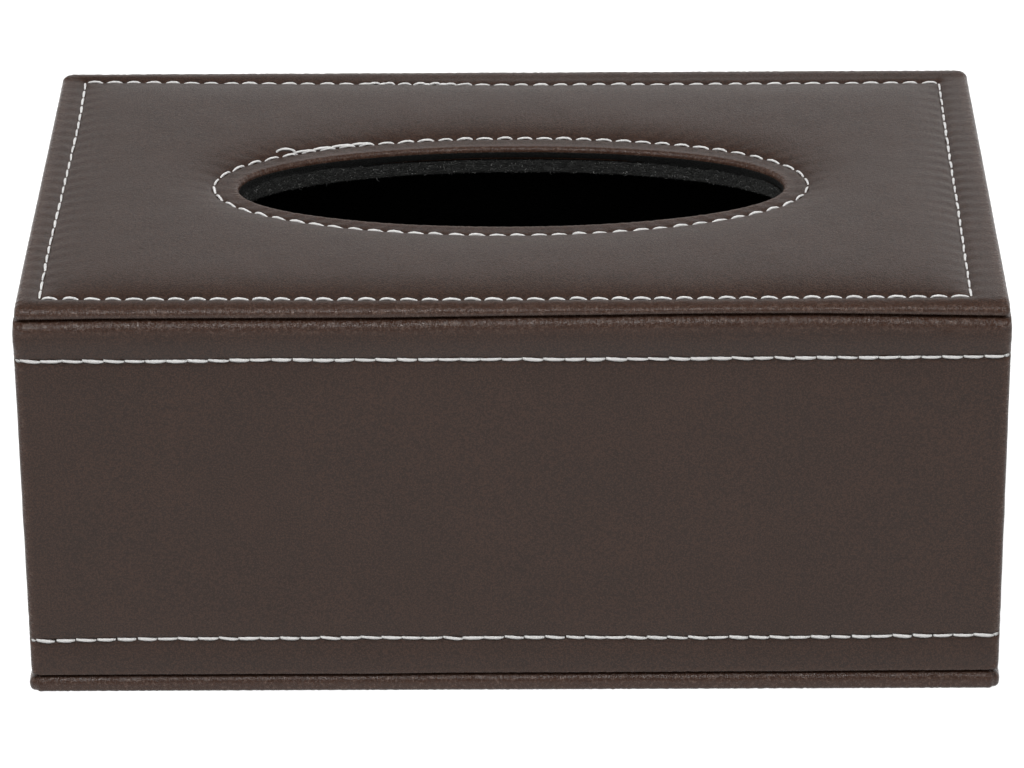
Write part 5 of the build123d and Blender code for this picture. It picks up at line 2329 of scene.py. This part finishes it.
@dataclass
class Studio:
    """White sweep, soft light and the camera."""

    camera_place: Triple = (0.01037, -1.21767, 0.65639)
    camera_forward: Triple = (-0.008159, 0.895548, -0.44489)
    camera_right: Triple = (0.999958, 0.005427, -0.007416)
    focal: float = 5081.8
    picture_width: float = 1024.0
    sensor: float = 36.0
    sky_turn: Pair = (34.0, 46.0)
    daylight: Pair = (0.15, 0.99)
    floor_glow: float = 0.93
    lamp_place: Triple = (-0.25, -1.35, 1.8)
    lamp_target: Triple = (0.0, 0.0, 0.05)
    lamp_size: float = 0.45
    lamp_power: float = 22.5
    floor_reach: float = 3.0
    floor_cells: int = 24

    def make(self) -> None:
        """Builds the camera, the floor, the world and the lamp."""
        self._camera()
        self._floor()
        self._world()
        self._lamp()
        bpy.context.scene.view_settings.view_transform = "Standard"

    def _camera(self) -> None:
        """The camera at the photograph's angle."""
        data = bpy.data.cameras.new("camera")
        data.sensor_width = self.sensor
        data.lens = self.focal * self.sensor / self.picture_width
        data.clip_start, data.clip_end = 0.01, 20
        camera = link(bpy.data.objects.new("camera", data))
        forward = Vector(self.camera_forward).normalized()
        right = Vector(self.camera_right)
        right = (right - forward * right.dot(forward)).normalized()
        up = right.cross(forward)
        turn = Matrix((right, up, -forward)).transposed()
        camera.matrix_world = Matrix.Translation(self.camera_place) @ turn.to_4x4()
        bpy.context.scene.camera = camera

    def _floor(self) -> None:
        """White floor that keeps the box's shadow."""
        mesh = bpy.data.meshes.new("floor")
        line = np.linspace(-self.floor_reach, self.floor_reach, self.floor_cells + 1)
        points = [(x, y, 0.0) for y in line for x in line]
        row = self.floor_cells + 1
        corners = [r * row + c for r in range(self.floor_cells) for c in range(self.floor_cells)]
        faces = [(n, n + 1, n + row + 1, n + row) for n in corners]
        mesh.from_pydata(points, [], faces)
        floor = link(bpy.data.objects.new("floor", mesh))
        grey = (0.3, 0.3, 0.3, 1.0)
        paint = Material("floor", Roughness=0.9, Base_Color=grey, Specular_IOR_Level=0.1)
        bench = paint.bench
        ray = bench.add("ShaderNodeLightPath").outputs
        mirrored = bench.most(ray["Is Glossy Ray"], ray["Is Transmission Ray"])
        seen = bench.most(ray["Is Camera Ray"], mirrored)
        bench.feed(paint.shader, "Emission Color", (1.0, 1.0, 1.0, 1.0))
        bench.feed(paint.shader, "Emission Strength", bench.times(seen, self.floor_glow))
        mesh.materials.append(paint.data)

    def _world(self) -> None:
        """White to the camera, and in reflections white only low down behind the box."""
        world = bpy.data.worlds.new("studio")
        world.use_nodes = True
        bpy.context.scene.world = world
        bench = NodeBench(world.node_tree)
        world.node_tree.nodes.clear()
        ray = bench.add("ShaderNodeLightPath").outputs
        way = bench.add("ShaderNodeTexCoord").outputs["Generated"]
        parts = bench.add("ShaderNodeSeparateXYZ", {"Vector": way}).outputs
        low, high = (math.sin(math.radians(turn)) for turn in self.sky_turn)
        sweep = bench.span(parts["Z"], low, high, 1.0, 0.05)
        sweep = bench.times(sweep, bench.span(parts["Y"], -0.6, -0.1, 0.1, 1.0))
        sweep = bench.times(sweep, bench.span(parts["X"], -0.3, 0.3, 0.78, 1.22))
        mirrored = bench.most(ray["Is Glossy Ray"], ray["Is Transmission Ray"])
        glossy = bench.times(mirrored, sweep)
        day = bench.times(bench.most(parts["Z"], 0.0), self.daylight[1], self.daylight[0])
        diffuse = bench.times(bench.math("SUBTRACT", 1.0, mirrored), day)
        lit = bench.plus(glossy, diffuse)
        strength = bench.most(lit, ray["Is Camera Ray"])
        feeds = {"Color": (1.0, 1.0, 1.0, 1.0), "Strength": strength}
        back = bench.add("ShaderNodeBackground", feeds).outputs[0]
        bench.add("ShaderNodeOutputWorld", {"Surface": back})

    def _lamp(self) -> None:
        """One square soft lamp, high in front, that faces the box."""
        data = bpy.data.lights.new("front_lamp", "AREA")
        data.shape = "SQUARE"
        data.size = self.lamp_size
        data.energy = self.lamp_power
        lamp = link(bpy.data.objects.new("front_lamp", data))
        way = Vector(self.lamp_target) - Vector(self.lamp_place)
        turn = way.to_track_quat("-Z", "Y").to_matrix().to_4x4()
        lamp.matrix_world = Matrix.Translation(self.lamp_place) @ turn


def main() -> None:
    """Builds the box's looks, piece by piece, and its studio."""
    logging.basicConfig(level=logging.INFO, format="%(message)s")
    Studio().make()
    workshop = Workshop()
    sewing = Sewing(workshop)
    top = PaddedTop(workshop, sewing)
    top.make()
    DrawerFront(workshop, sewing).make()
    WallBand(workshop, sewing).make()
    Base(workshop).make()
    TopLining(workshop, top.slot).make()
    Linings(workshop).make()
    sewing.close()
    for node, slot in HIDDEN_NODES.items():
        workshop.dress(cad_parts[node], slot)


if __name__ == "__main__":
    main()
